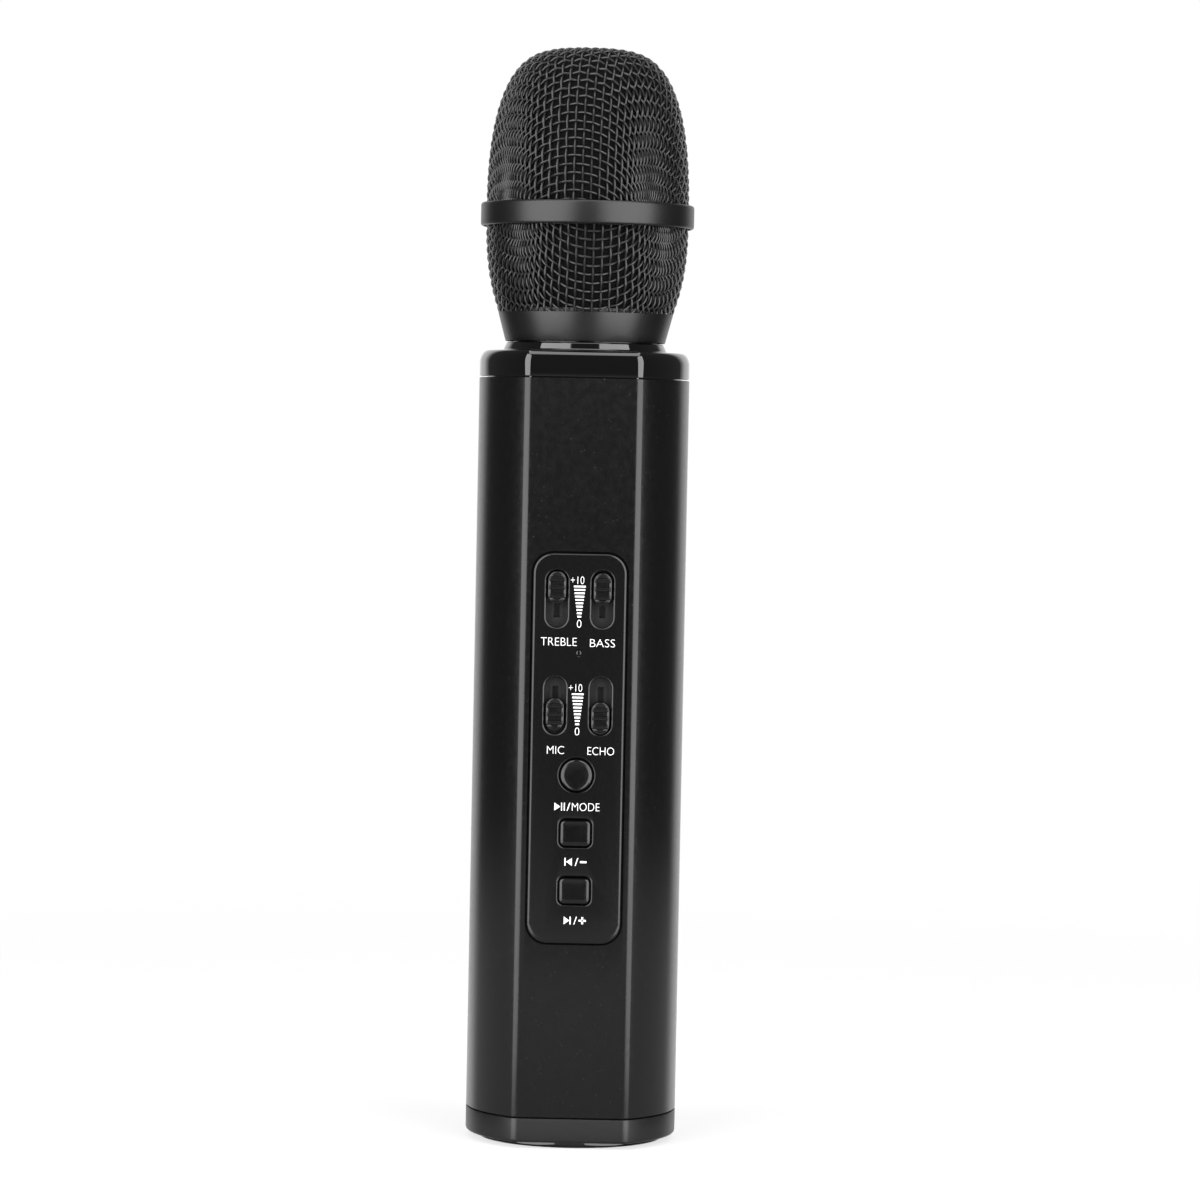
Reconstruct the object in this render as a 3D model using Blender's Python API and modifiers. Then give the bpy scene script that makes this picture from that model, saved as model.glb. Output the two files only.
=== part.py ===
"""A wireless karaoke microphone that stands upright on its base.

Units are metres. +Z is up along the microphone's axis, -Y is the front with the
control panel, and the origin is the middle of the base's bottom face.
"""

import math

import bmesh
import bpy
from mathutils import Vector

GAP = 0.0003  # clearance between neighbouring pieces

# Cross-section of the body: two flats joined by two wide arcs, with soft creases.
FLAT_Y = 0.0261  # front and back flats, from the axis
SIDE_RADIUS = 0.033
SIDE_OFFSET = 0.006  # each side arc's centre lies this far past the axis
CREASE_RADIUS = 0.0028
LEAST_CREASE = 0.0003
SIDE_STEPS = 7
CREASE_STEPS = 3
FLAT_STEPS = 4
WALL = 0.0016

# Heights of the seams along the axis.
CAP_BOTTOM = 0.0015
BOTTOM_SEAM = 0.0078
TOP_SEAM = 0.1954
SHOULDER = 0.1992
CAP_TOP = 0.2022
BOSS_TOP = 0.2045
COLLAR_TOP = 0.21215
RING_BOTTOM = 0.2341
RING_TOP = 0.2401
HEIGHT = 0.280

# Caps.
CAP_WALL = 0.0015
SPIGOT_LENGTH = 0.0054  # how far each cap reaches into the tube
BOSS_RADIUS = 0.0209
BOSS_TOP_RADIUS = 0.0202
NECK_HOLE = 0.017

# Grille head.
HEAD_RADIUS = 0.0261
RING_RADIUS = 0.0274
RING_BORE = 0.0252
RING_CHAMFER = 0.0006
MESH_WALL = 0.001
COLLAR_LOW_RADIUS = 0.0205
COLLAR_HIGH_RADIUS = 0.0225
COLLAR_BORE = 0.0196
DOME_RADIAL_POWER = 4.0  # the dome is a superellipse: flat on top, full at the side
DOME_AXIAL_POWER = 2.2
BOWL_POWER = 2.4
FOAM_CLEARANCE = 0.0014
FOAM_WALL = 0.0045
FOAM_BOTTOM = 0.2132
DOME_STEPS = 9
BOWL_STEPS = 4
FOAM_STEPS = 6
HEAD_TURN_STEPS = 40

# Threaded neck and microphone capsule.
NECK_RADIUS = 0.0193
NECK_TOP = 0.2115
NECK_BORE = 0.0148
SEAT_BOTTOM = 0.2036
SEAT_FLANGE_TOP = 0.2066
SEAT_TOP = 0.236
CAPSULE_RADIUS = 0.008
CAPSULE_BOTTOM = 0.2275
CAPSULE_TOP = 0.2465

# Control panel in the front flat; the speaker grille in the back flat is as large.
PANEL_WIDTH = 0.0236
PANEL_LOW = 0.0524
PANEL_HIGH = 0.151
PANEL_CORNER = 0.005
PANEL_PROUD = 0.0005
PANEL_CHAMFER = 0.0004
PANEL_LOW_CHAMFER = 0.00135  # the panel's lower edge slopes more
PANEL_BACK = 0.0232  # inner face, from the axis
FLANGE_FRONT = 0.0242
FLANGE_MARGIN = 0.0012
CORNER_STEPS = 4

# Slide controls: (name, x, middle of the slot, height of the knob at rest).
SLIDERS = (
    ("treble", -0.00575, 0.1395, 0.1424),
    ("bass", 0.00575, 0.1395, 0.1421),
    ("mic_level", -0.00575, 0.1125, 0.11035),
    ("echo", 0.00575, 0.1125, 0.1095),
)
SLOT_WIDTH = 0.0054
SLOT_HEIGHT = 0.0145
SLOT_CHAMFER = 0.00035
KNOB_WIDTH = 0.0047
KNOB_HEIGHT = 0.0083
KNOB_FRONT = 0.0269
KNOB_BACK = 0.0236
RIB_PITCH = 0.00215
RIB_WIDTH = 0.0009
RIB_HEIGHT = 0.0004
TRAVEL = 0.003  # of a knob, each way from the middle of its slot
LEVER_WIDTH = 0.001
LEVER_HEIGHT = 0.003
LEVER_FRONT = 0.0259
LEVER_BACK = 0.0211
POT_WIDTH = 0.0085
POT_HEIGHT = 0.02
POT_FRONT = 0.0228
POT_BACK = 0.0199
POT_SLOT_FLOOR = 0.0208

# Push buttons: (name, width, height, corner, height above the base).
BUTTONS = (
    ("play", 0.008, 0.008, 0.004, 0.095),
    ("previous", 0.0075, 0.0065, 0.0012, 0.0803),
    ("next", 0.0075, 0.0065, 0.0012, 0.0657),
)
BUTTON_GAP = 0.00035
BUTTON_HOLE_CHAMFER = 0.0004
BUTTON_HOLE_SLOPE = 0.00055  # each square hole's upper edge slopes this much more
BUTTON_FRONT = 0.0271
BUTTON_CHAMFER = 0.0003
BUTTON_FLANGE = 0.001
BUTTON_FLANGE_FRONT = 0.0229
BUTTON_BACK = 0.0221
SWITCH_SIZE = 0.006
SWITCH_FRONT = 0.0213
SWITCH_FLOOR = 0.0203
PLUNGER_RADIUS = 0.0012
PLUNGER_FRONT = 0.0218
PLUNGER_BACK = 0.0209

# Status light between the slide controls.
LIGHT_Z = 0.1259
LIGHT_RADIUS = 0.000725

# Control board behind the panel.
BOARD_FRONT = 0.0196
BOARD_THICKNESS = 0.0016
BOARD_WIDTH = 0.0246
BOARD_LOW = 0.0505
BOARD_HIGH = 0.1525

# Loudspeakers behind the rear grille.
SPEAKERS = (("upper", 0.125), ("lower", 0.078))
SPEAKER_RADIUS = 0.014
SPEAKER_FRONT = 0.0229
GRILLE_PLATE = 0.0012
GRILLE_RIM = 0.0015
GRILLE_HOLE_RADIUS = 0.0012
GRILLE_HOLE_PITCH = 0.0042
GRILLE_HOLE_RINGS = 2
BAFFLE_FRONT = 0.0214
BAFFLE_BACK = 0.0194
BAFFLE_WIDTH = 0.032

# Base: disc, sockets, card reader and power switch.
DISC_RADIUS = 0.0239
DISC_TOP = 0.0025
FLOOR_BOTTOM = 0.0028
FLOOR_TOP = 0.0053
SOCKET_MOUTH = 0.0006  # sockets start this far above the bottom face
SOCKETS = (("charge_socket", -0.0105), ("audio_socket", 0.0105))
SOCKET_Y = 0.004
SOCKET_WIDTH = 0.0076
SOCKET_DEPTH = 0.0027
SOCKET_TOP = 0.009
CARD_Y = -0.0085
CARD_WIDTH = 0.0146
CARD_DEPTH = 0.0026
CARD_TOP = 0.0126
SWITCH_Y = 0.0135
SWITCH_TRAVEL = 0.003
SLIDER_WIDTH = 0.003
SLIDER_DEPTH = 0.0015
SCREW_CIRCLE = 0.0205
SCREW_ANGLES = (30, 150, 270)
SCREW_HEAD = 0.00175
SCREW_SHANK = 0.0009
SCREW_TIP = 0.0062

OVERSHOOT = 0.002  # how far a cutter runs past the face it cuts


# ---------------------------------------------------------------- scene and materials


def clear_scene():
    for obj in list(bpy.data.objects):
        bpy.data.objects.remove(obj, do_unlink=True)


def collection(name):
    made = bpy.data.collections.new(name)
    bpy.context.scene.collection.children.link(made)
    return made


def principled(name, colour, roughness, metallic=0.0):
    material = bpy.data.materials.new(name)
    material.use_nodes = True
    shader = material.node_tree.nodes["Principled BSDF"]
    shader.inputs["Base Color"].default_value = (*colour, 1.0)
    shader.inputs["Roughness"].default_value = roughness
    shader.inputs["Metallic"].default_value = metallic
    return material


clear_scene()
PARTS = collection("karaoke_microphone")
CUTTERS = collection("cutters")

PAINT = principled("satin_black_paint", (0.012, 0.012, 0.013), 0.45)
GLOSS = principled("gloss_black_abs", (0.004, 0.004, 0.004), 0.08)
SATIN = principled("satin_black_abs", (0.012, 0.012, 0.013), 0.35)
WIRE = principled("black_steel_wire", (0.015, 0.015, 0.016), 0.4, 0.6)
BAND = principled("black_satin_metal", (0.03, 0.03, 0.03), 0.35, 0.8)
FOAM = principled("grey_foam", (0.02, 0.02, 0.02), 1.0)
RUBBER = principled("black_rubber", (0.01, 0.01, 0.01), 0.8)
METAL = principled("bright_metal", (0.6, 0.6, 0.6), 0.3, 1.0)
LAMINATE = principled("green_circuit_board", (0.01, 0.08, 0.03), 0.4)
NATURAL = principled("grey_moulding", (0.12, 0.12, 0.12), 0.5)
CLEAR = principled("frosted_light_pipe", (0.7, 0.75, 0.8), 0.3)
CELL = principled("blue_cell_sleeve", (0.02, 0.1, 0.4), 0.35)
PAPER = principled("speaker_paper", (0.02, 0.02, 0.02), 0.9)
MAGNET = principled("ferrite", (0.03, 0.03, 0.03), 0.6)


# ---------------------------------------------------------------- outlines


def body_quarter(inset):
    """The outline from the middle of the right side to the middle of the back flat."""
    flat = FLAT_Y - inset
    radius = SIDE_RADIUS - inset
    crease = max(CREASE_RADIUS - inset, LEAST_CREASE)
    centre_y = flat - crease
    centre_x = math.sqrt((radius - crease) ** 2 - centre_y**2)
    tangent = math.atan2(centre_y, centre_x)
    points = []
    for step in range(SIDE_STEPS + 1):
        angle = tangent * step / SIDE_STEPS
        points.append((radius * math.cos(angle) - SIDE_OFFSET, radius * math.sin(angle)))
    for step in range(1, CREASE_STEPS + 1):
        angle = tangent + (math.pi / 2 - tangent) * step / CREASE_STEPS
        x = centre_x - SIDE_OFFSET + crease * math.cos(angle)
        points.append((x, centre_y + crease * math.sin(angle)))
    flat_end = points[-1][0]
    for step in range(1, FLAT_STEPS + 1):
        points.append((flat_end * (1 - step / FLAT_STEPS), flat))
    return points


def body_outline(inset):
    """The body's closed cross-section, moved inwards by inset, anticlockwise from above."""
    quarter = body_quarter(inset)
    back_left = [(-x, y) for x, y in reversed(quarter[:-1])]
    front_left = [(-x, -y) for x, y in quarter[1:]]
    front_right = [(x, -y) for x, y in reversed(quarter[1:-1])]
    return quarter + back_left + front_left + front_right


def round_outline(radius):
    """A circle whose points lie on the same rays as the body outline's points."""
    points = []
    for x, y in body_outline(0.0):
        angle = math.atan2(y, x)
        points.append((radius * math.cos(angle), radius * math.sin(angle)))
    return points


def rounded_rectangle(width, height, corner, steps=CORNER_STEPS):
    """A rectangle with round corners about the origin, anticlockwise."""
    points = []
    turns = ((1, 1, 0), (-1, 1, 90), (-1, -1, 180), (1, -1, 270))
    for side_x, side_y, start in turns:
        centre_x = side_x * (width / 2 - corner)
        centre_y = side_y * (height / 2 - corner)
        for step in range(steps + 1):
            angle = math.radians(start + 90 * step / steps)
            x = centre_x + corner * math.cos(angle)
            points.append((x, centre_y + corner * math.sin(angle)))
    return points


# ---------------------------------------------------------------- makers


def add(name, mesh, material=None, location=(0, 0, 0), rotation=(0, 0, 0), parent=None):
    """Puts a mesh in the scene: as a part with its material, or as a hidden cutter."""
    obj = bpy.data.objects.new(name, mesh)
    if material is None:
        CUTTERS.objects.link(obj)
        obj.hide_render = True
        obj.display_type = "WIRE"
    else:
        PARTS.objects.link(obj)
        mesh.materials.append(material)
    obj.location = location
    obj.rotation_euler = rotation
    if parent:
        obj.parent = parent
        obj.location = Vector(location) - parent.location
    return obj


def axis_empty(name, location):
    """An empty on a joint's axis, which carries the pieces that move together."""
    empty = bpy.data.objects.new(name, None)
    empty.empty_display_size = 0.01
    empty.location = location
    PARTS.objects.link(empty)
    return empty


def box(name, low, high, material=None, parent=None):
    """A box between two opposite corners."""
    low, high = Vector(low), Vector(high)
    bm = bmesh.new()
    bmesh.ops.create_cube(bm, size=1.0)
    bmesh.ops.scale(bm, vec=high - low, verts=bm.verts)
    mesh = bpy.data.meshes.new(name)
    bm.to_mesh(mesh)
    bm.free()
    return add(name, mesh, material, (low + high) / 2, parent=parent)


def loft(name, rings, material=None, closed=False, location=(0, 0, 0), parent=None):
    """A solid through rings of points: closed into a loop, or capped at both ends."""
    bm = bmesh.new()
    loops = [[bm.verts.new(point) for point in ring] for ring in rings]
    following = loops[1:] + loops[:1] if closed else loops[1:]
    for lower, upper in zip(loops, following):
        for here in range(len(lower)):
            there = (here + 1) % len(lower)
            bm.faces.new((lower[here], lower[there], upper[there], upper[here]))
    if not closed:
        bm.faces.new(reversed(loops[0]))
        bm.faces.new(loops[-1])
    bmesh.ops.recalc_face_normals(bm, faces=bm.faces)
    mesh = bpy.data.meshes.new(name)
    bm.to_mesh(mesh)
    bm.free()
    return add(name, mesh, material, location, parent=parent)


def at_height(outline, z):
    return [(x, y, z) for x, y in outline]


def facing_front(outline, depth, x=0.0, z=0.0):
    """An outline drawn in the X-Z plane at a distance in front of the axis."""
    return [(x + across, -depth, z + up) for across, up in outline]


def facing_back(outline, depth, x=0.0, z=0.0):
    return [(x - across, depth, z + up) for across, up in outline]


def turned(name, profile, material=None, steps=24, location=(0, 0, 0), tilt=0.0, parent=None):
    """A turned solid. The profile runs down its outer side; a ring's runs back up inside."""
    bm = bmesh.new()
    verts = [bm.verts.new((radius, 0.0, z)) for radius, z in profile]
    for upper, lower in zip(verts, verts[1:]):
        bm.edges.new((upper, lower))
    if profile[0][0] > 0:
        bm.edges.new((verts[-1], verts[0]))
    mesh = bpy.data.meshes.new(name)
    bm.to_mesh(mesh)
    bm.free()
    obj = add(name, mesh, material, location, (tilt, 0, 0), parent)
    screw = obj.modifiers.new("turn", "SCREW")
    screw.steps = screw.render_steps = steps
    screw.use_merge_vertices = True
    screw.merge_threshold = 0.00001
    screw.use_smooth_shade = False
    return obj


def boolean(target, other, operation="DIFFERENCE"):
    modifier = target.modifiers.new(other.name, "BOOLEAN")
    modifier.operation = operation
    modifier.solver = "EXACT"
    modifier.object = other


TOWARDS_FRONT = math.pi / 2  # tilt that turns a turned piece's +Z to the front
TOWARDS_BACK = -math.pi / 2


# ---------------------------------------------------------------- grille head


def dome_profile(radius, low, high, steps=DOME_STEPS):
    """Points of the dome from the top on the axis down to its rim."""
    points = []
    for step in range(steps + 1):
        angle = math.pi / 2 * (1 - step / steps)
        r = radius * max(math.cos(angle), 0.0) ** (2 / DOME_RADIAL_POWER)
        t = math.sin(angle) ** (2 / DOME_AXIAL_POWER)
        points.append((0.0 if step == 0 else r, low + (high - low) * t))
    return points


def bowl_radius(z):
    rest = (RING_BOTTOM - z) / (RING_BOTTOM - COLLAR_TOP)
    return HEAD_RADIUS - (HEAD_RADIUS - COLLAR_HIGH_RADIUS) * rest**BOWL_POWER


def bowl_profile(inset, high, low):
    """Points of the lower basket from its rim down to the collar."""
    points = []
    for step in range(BOWL_STEPS + 1):
        z = high + (low - high) * step / BOWL_STEPS
        points.append((bowl_radius(z) - inset, z))
    return points


def grille_head():
    """The screw-on head: woven wire dome and basket, joining ring, collar and foam."""
    axis = axis_empty("head_axis", (0, 0, BOSS_TOP))
    rim = RING_TOP + GAP
    outer = dome_profile(HEAD_RADIUS, rim, HEIGHT)
    inner = dome_profile(HEAD_RADIUS - MESH_WALL, rim, HEIGHT - MESH_WALL)
    turned("upper_grille_mesh", outer + inner[::-1], WIRE, HEAD_TURN_STEPS, parent=axis)

    low, high = COLLAR_TOP + GAP, RING_BOTTOM - GAP
    basket = bowl_profile(0.0, high, low) + bowl_profile(MESH_WALL, high, low)[::-1]
    turned("lower_grille_mesh", basket, WIRE, HEAD_TURN_STEPS, parent=axis)

    shoulder = RING_RADIUS - RING_CHAMFER
    ring = (
        (RING_BORE, RING_TOP),
        (shoulder, RING_TOP),
        (RING_RADIUS, RING_TOP - RING_CHAMFER),
        (RING_RADIUS, RING_BOTTOM + RING_CHAMFER),
        (shoulder, RING_BOTTOM),
        (RING_BORE, RING_BOTTOM),
    )
    turned("grille_ring", ring, BAND, HEAD_TURN_STEPS, parent=axis)

    foot = BOSS_TOP + GAP / 2
    collar = (
        (COLLAR_BORE, COLLAR_TOP),
        (COLLAR_HIGH_RADIUS, COLLAR_TOP),
        (COLLAR_LOW_RADIUS, foot),
        (COLLAR_BORE, foot),
    )
    turned("grille_collar", collar, BAND, HEAD_TURN_STEPS, parent=axis)

    radius, top = HEAD_RADIUS - FOAM_CLEARANCE, HEIGHT - FOAM_CLEARANCE
    outer = dome_profile(radius, RING_TOP, top, FOAM_STEPS)
    outer += bowl_profile(FOAM_CLEARANCE, RING_BOTTOM, FOAM_BOTTOM)
    cover = FOAM_CLEARANCE + FOAM_WALL
    inner = dome_profile(HEAD_RADIUS - cover, RING_TOP, HEIGHT - cover, FOAM_STEPS)
    inner += bowl_profile(cover, RING_BOTTOM, FOAM_BOTTOM)
    turned("foam_liner", outer + inner[::-1], FOAM, 24, parent=axis)


def capsule():
    """The threaded neck, the post on it, and the capsule in its rubber sleeve."""
    foot = BOSS_TOP + GAP / 2
    spigot = NECK_HOLE - GAP
    neck = (
        (NECK_BORE, NECK_TOP),
        (NECK_RADIUS, NECK_TOP),
        (NECK_RADIUS, foot),
        (spigot, foot),
        (spigot, SHOULDER + GAP),
        (NECK_BORE, SHOULDER + GAP),
    )
    turned("threaded_neck", neck, METAL, HEAD_TURN_STEPS)

    post = 0.0118
    bore = CAPSULE_RADIUS + 0.0028
    seat_floor = 0.2205
    seat = (
        (0.0, seat_floor),
        (bore, seat_floor),
        (bore, SEAT_TOP),
        (post, SEAT_TOP),
        (post, SEAT_FLANGE_TOP),
        (NECK_BORE - GAP, SEAT_FLANGE_TOP),
        (NECK_BORE - GAP, SEAT_BOTTOM),
        (0.0, SEAT_BOTTOM),
    )
    turned("capsule_seat", seat, NATURAL, 24)

    sleeve_bore = CAPSULE_RADIUS + GAP
    sleeve_outer = bore - GAP
    lip = SEAT_TOP + GAP
    sleeve = (
        (sleeve_bore, lip + 0.0015),
        (post, lip + 0.0015),
        (post, lip),
        (sleeve_outer, lip),
        (sleeve_outer, seat_floor + GAP),
        (sleeve_bore, seat_floor + GAP),
    )
    turned("capsule_sleeve", sleeve, RUBBER, 24)

    shoulder = 0.0007
    body = (
        (0.0, CAPSULE_TOP),
        (CAPSULE_RADIUS - shoulder, CAPSULE_TOP),
        (CAPSULE_RADIUS, CAPSULE_TOP - shoulder),
        (CAPSULE_RADIUS, CAPSULE_BOTTOM),
        (0.0, CAPSULE_BOTTOM),
    )
    turned("microphone_capsule", body, METAL, 24)


# ---------------------------------------------------------------- body shells


def top_cap():
    """The gloss cap: spigot, straight side, soft shoulder and the boss for the head."""
    seam = TOP_SEAM + GAP / 2
    spigot = seam - SPIGOT_LENGTH
    inner = WALL + GAP + CAP_WALL
    ceiling = SHOULDER
    rise = CAP_TOP - SHOULDER
    rings = [
        at_height(round_outline(NECK_HOLE), BOSS_TOP - GAP / 2),
        at_height(round_outline(BOSS_TOP_RADIUS), BOSS_TOP - GAP / 2),
        at_height(round_outline(BOSS_RADIUS), CAP_TOP),
        at_height(body_outline(0.0017), CAP_TOP),
        at_height(body_outline(0.0008), CAP_TOP - 0.3 * rise),
        at_height(body_outline(0.00025), CAP_TOP - 0.63 * rise),
        at_height(body_outline(0.0), SHOULDER),
        at_height(body_outline(0.0), seam),
        at_height(body_outline(WALL + GAP), seam),
        at_height(body_outline(WALL + GAP), spigot),
        at_height(body_outline(inner), spigot),
        at_height(body_outline(inner), ceiling),
        at_height(round_outline(NECK_HOLE), ceiling),
    ]
    loft("top_cap", rings, GLOSS, closed=True)


def body_tube():
    """The extruded tube with a window for the panel and one for the speaker grille."""
    low, high = BOTTOM_SEAM + GAP / 2, TOP_SEAM - GAP / 2
    rings = [
        at_height(body_outline(0.0), low),
        at_height(body_outline(0.0), high),
        at_height(body_outline(WALL), high),
        at_height(body_outline(WALL), low),
    ]
    tube = loft("body_tube", rings, PAINT, closed=True)
    middle = (PANEL_LOW + PANEL_HIGH) / 2
    width = PANEL_WIDTH + 2 * GAP
    height = PANEL_HIGH - PANEL_LOW + 2 * GAP
    outline = rounded_rectangle(width, height, PANEL_CORNER + GAP)
    near, far = FLAT_Y - WALL - OVERSHOOT, FLAT_Y + OVERSHOOT
    for name, facing in (("panel_window", facing_front), ("grille_window", facing_back)):
        sides = [facing(outline, near, z=middle), facing(outline, far, z=middle)]
        boolean(tube, loft(name, sides))


def bottom_cap():
    """The cap that closes the tube, recessed for the disc and open for the sockets."""
    seam = BOTTOM_SEAM - GAP / 2
    inner = WALL + GAP + CAP_WALL
    edge = 0.0006
    recess = DISC_RADIUS + GAP
    rings = [
        at_height(round_outline(recess), FLOOR_BOTTOM),
        at_height(round_outline(recess), CAP_BOTTOM),
        at_height(body_outline(edge), CAP_BOTTOM),
        at_height(body_outline(0.0), CAP_BOTTOM + edge),
        at_height(body_outline(0.0), seam),
        at_height(body_outline(WALL + GAP), seam),
        at_height(body_outline(WALL + GAP), seam + SPIGOT_LENGTH),
        at_height(body_outline(inner), seam + SPIGOT_LENGTH),
        at_height(body_outline(inner), FLOOR_TOP),
    ]
    return loft("bottom_cap", rings, SATIN)


def base_disc():
    """The gloss disc that the microphone stands on."""
    edge = 0.0004
    profile = (
        (0.0, DISC_TOP),
        (DISC_RADIUS, DISC_TOP),
        (DISC_RADIUS, edge),
        (DISC_RADIUS - edge, 0.0),
        (0.0, 0.0),
    )
    return turned("base_disc", profile, GLOSS, 48)


def base():
    """Bottom cap and disc with everything that sits behind them."""
    shells = (bottom_cap(), base_disc())
    for name, x in SOCKETS:
        cut_through(shells, name + "_window", x, SOCKET_Y, SOCKET_WIDTH, SOCKET_DEPTH)
        micro_socket(name, x)
    cut_through(shells, "card_window", 0.0, CARD_Y, CARD_WIDTH, CARD_DEPTH)
    card_reader()
    slot = SWITCH_TRAVEL + SLIDER_WIDTH
    cut_through(shells, "switch_window", 0.0, SWITCH_Y, slot, SLIDER_DEPTH)
    power_switch()
    socket_board()
    for number, angle in enumerate(SCREW_ANGLES, 1):
        base_screw(number, math.radians(angle), shells)


def cut_through(shells, name, x, y, width, depth):
    """A window with clearance all round a piece, through the disc and the cap's floor."""
    half_x, half_y = width / 2 + GAP, depth / 2 + GAP
    low = (x - half_x, y - half_y, -OVERSHOOT)
    high = (x + half_x, y + half_y, FLOOR_TOP + OVERSHOOT)
    window = box(name, low, high)
    for shell in shells:
        boolean(shell, window)


def upright_box(name, x, y, width, depth, low, high, material=None, parent=None):
    corner = (x - width / 2, y - depth / 2, low)
    return box(name, corner, (x + width / 2, y + depth / 2, high), material, parent)


def micro_socket(name, x):
    """A five-pin micro socket on end: metal shell with a tongue inside its mouth."""
    mouth_width, mouth_depth, mouth_top = 0.0069, 0.00195, 0.0056
    tongue_width, tongue_depth, tongue_low = 0.0038, 0.0006, 0.0015
    args = (x, SOCKET_Y, SOCKET_WIDTH, SOCKET_DEPTH, SOCKET_MOUTH, SOCKET_TOP)
    shell = upright_box(name, *args, METAL)
    mouth = (x, SOCKET_Y, mouth_width, mouth_depth, -OVERSHOOT, mouth_top)
    boolean(shell, upright_box(name + "_mouth", *mouth))
    tongue = (x, SOCKET_Y, tongue_width, tongue_depth, tongue_low, mouth_top + WALL)
    boolean(shell, upright_box(name + "_tongue", *tongue), "UNION")


def card_reader():
    """The memory card reader, a flat metal box that is open at the bottom."""
    args = (0.0, CARD_Y, CARD_WIDTH, CARD_DEPTH, SOCKET_MOUTH, CARD_TOP)
    reader = upright_box("card_reader", *args, METAL)
    mouth = (0.0, CARD_Y, 0.0118, 0.0013, -OVERSHOOT, CARD_TOP - WALL)
    boolean(reader, upright_box("card_mouth", *mouth))


def power_switch():
    """A slide switch: fixed case and a slider that is off at rest."""
    low, high = FLOOR_TOP + GAP, SOCKET_TOP
    case = upright_box("power_switch_case", 0.0, SWITCH_Y, 0.009, 0.004, low, high, METAL)
    slot = SWITCH_TRAVEL + SLIDER_WIDTH + 2 * GAP
    ceiling = low + 0.002
    pocket = (0.0, SWITCH_Y, slot, SLIDER_DEPTH + 2 * GAP, low - OVERSHOOT, ceiling)
    boolean(case, upright_box("switch_pocket", *pocket))
    x = -SWITCH_TRAVEL / 2
    axis = axis_empty("power_axis", (x, SWITCH_Y, low))
    slider = (x, SWITCH_Y, SLIDER_WIDTH, SLIDER_DEPTH, SOCKET_MOUTH, ceiling - GAP)
    upright_box("power_switch_slider", *slider, SATIN, axis)


def socket_board():
    """The round board above the sockets, notched for the card reader."""
    low = SOCKET_TOP + GAP
    high = low + BOARD_THICKNESS
    radius = 0.019
    board = turned(
        "socket_board",
        ((0.0, high), (radius, high), (radius, low), (0.0, low)),
        LAMINATE,
        32,
    )
    notch = (0.0, CARD_Y, CARD_WIDTH + 2 * GAP, CARD_DEPTH + 2 * GAP, 0.0, high + OVERSHOOT)
    boolean(board, upright_box("card_notch", *notch))


def base_screw(number, angle, shells):
    """A countersunk screw that holds the disc to the cap, and its hole."""
    place = (SCREW_CIRCLE * math.cos(angle), SCREW_CIRCLE * math.sin(angle), 0.0)
    face, neck = 0.00025, 0.0011
    screw = (
        (0.0, SCREW_TIP),
        (SCREW_SHANK, SCREW_TIP - SCREW_SHANK),
        (SCREW_SHANK, neck),
        (SCREW_HEAD, face),
        (0.0, face),
    )
    turned(f"base_screw_{number}", screw, METAL, 12, place)
    top = FLOOR_TOP + OVERSHOOT
    hole = (
        (0.0, top),
        (SCREW_SHANK + GAP, top),
        (SCREW_SHANK + GAP, neck + GAP),
        (SCREW_HEAD + GAP, face + GAP),
        (SCREW_HEAD + GAP, -OVERSHOOT),
        (0.0, -OVERSHOOT),
    )
    cutter = turned(f"screw_hole_{number}", hole, None, 12, place)
    for shell in shells:
        boolean(shell, cutter)


# ---------------------------------------------------------------- control panel


def tray(name, facing, material, low_chamfer):
    """A plate that fills a window of the tube, with a flange behind the tube's wall."""
    width, height = PANEL_WIDTH, PANEL_HIGH - PANEL_LOW
    middle = (PANEL_LOW + PANEL_HIGH) / 2
    face = FLAT_Y + PANEL_PROUD
    edge = PANEL_CHAMFER
    margin = 2 * FLANGE_MARGIN
    flange = rounded_rectangle(width + margin, height + margin, PANEL_CORNER)
    plate = rounded_rectangle(width, height, PANEL_CORNER)
    crown = rounded_rectangle(width - 2 * edge, height - edge - low_chamfer, PANEL_CORNER)
    rings = [
        facing(flange, PANEL_BACK, z=middle),
        facing(flange, FLANGE_FRONT, z=middle),
        facing(plate, FLANGE_FRONT, z=middle),
        facing(plate, face - edge, z=middle),
        facing(crown, face, z=middle + (low_chamfer - edge) / 2),
    ]
    return loft(name, rings, material)


def window(name, panel, outline, chamfer, x, z, slope=0.0):
    """Cuts a chamfered window through the panel; slope widens the chamfer at its top."""
    width, height, corner = outline
    face = FLAT_Y + PANEL_PROUD
    past = 1 + OVERSHOOT / chamfer  # the chamfer's planes run on past the face
    rings = []
    for grow, depth in (
        (0.0, PANEL_BACK - OVERSHOOT),
        (0.0, face - chamfer),
        (past, face + OVERSHOOT),
    ):
        side, rise = 2 * chamfer * grow, slope * grow
        shape = rounded_rectangle(width + side, height + side + rise, corner + side / 2)
        rings.append(facing_front(shape, depth, x, z + rise / 2))
    boolean(panel, loft(name, rings))


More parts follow.
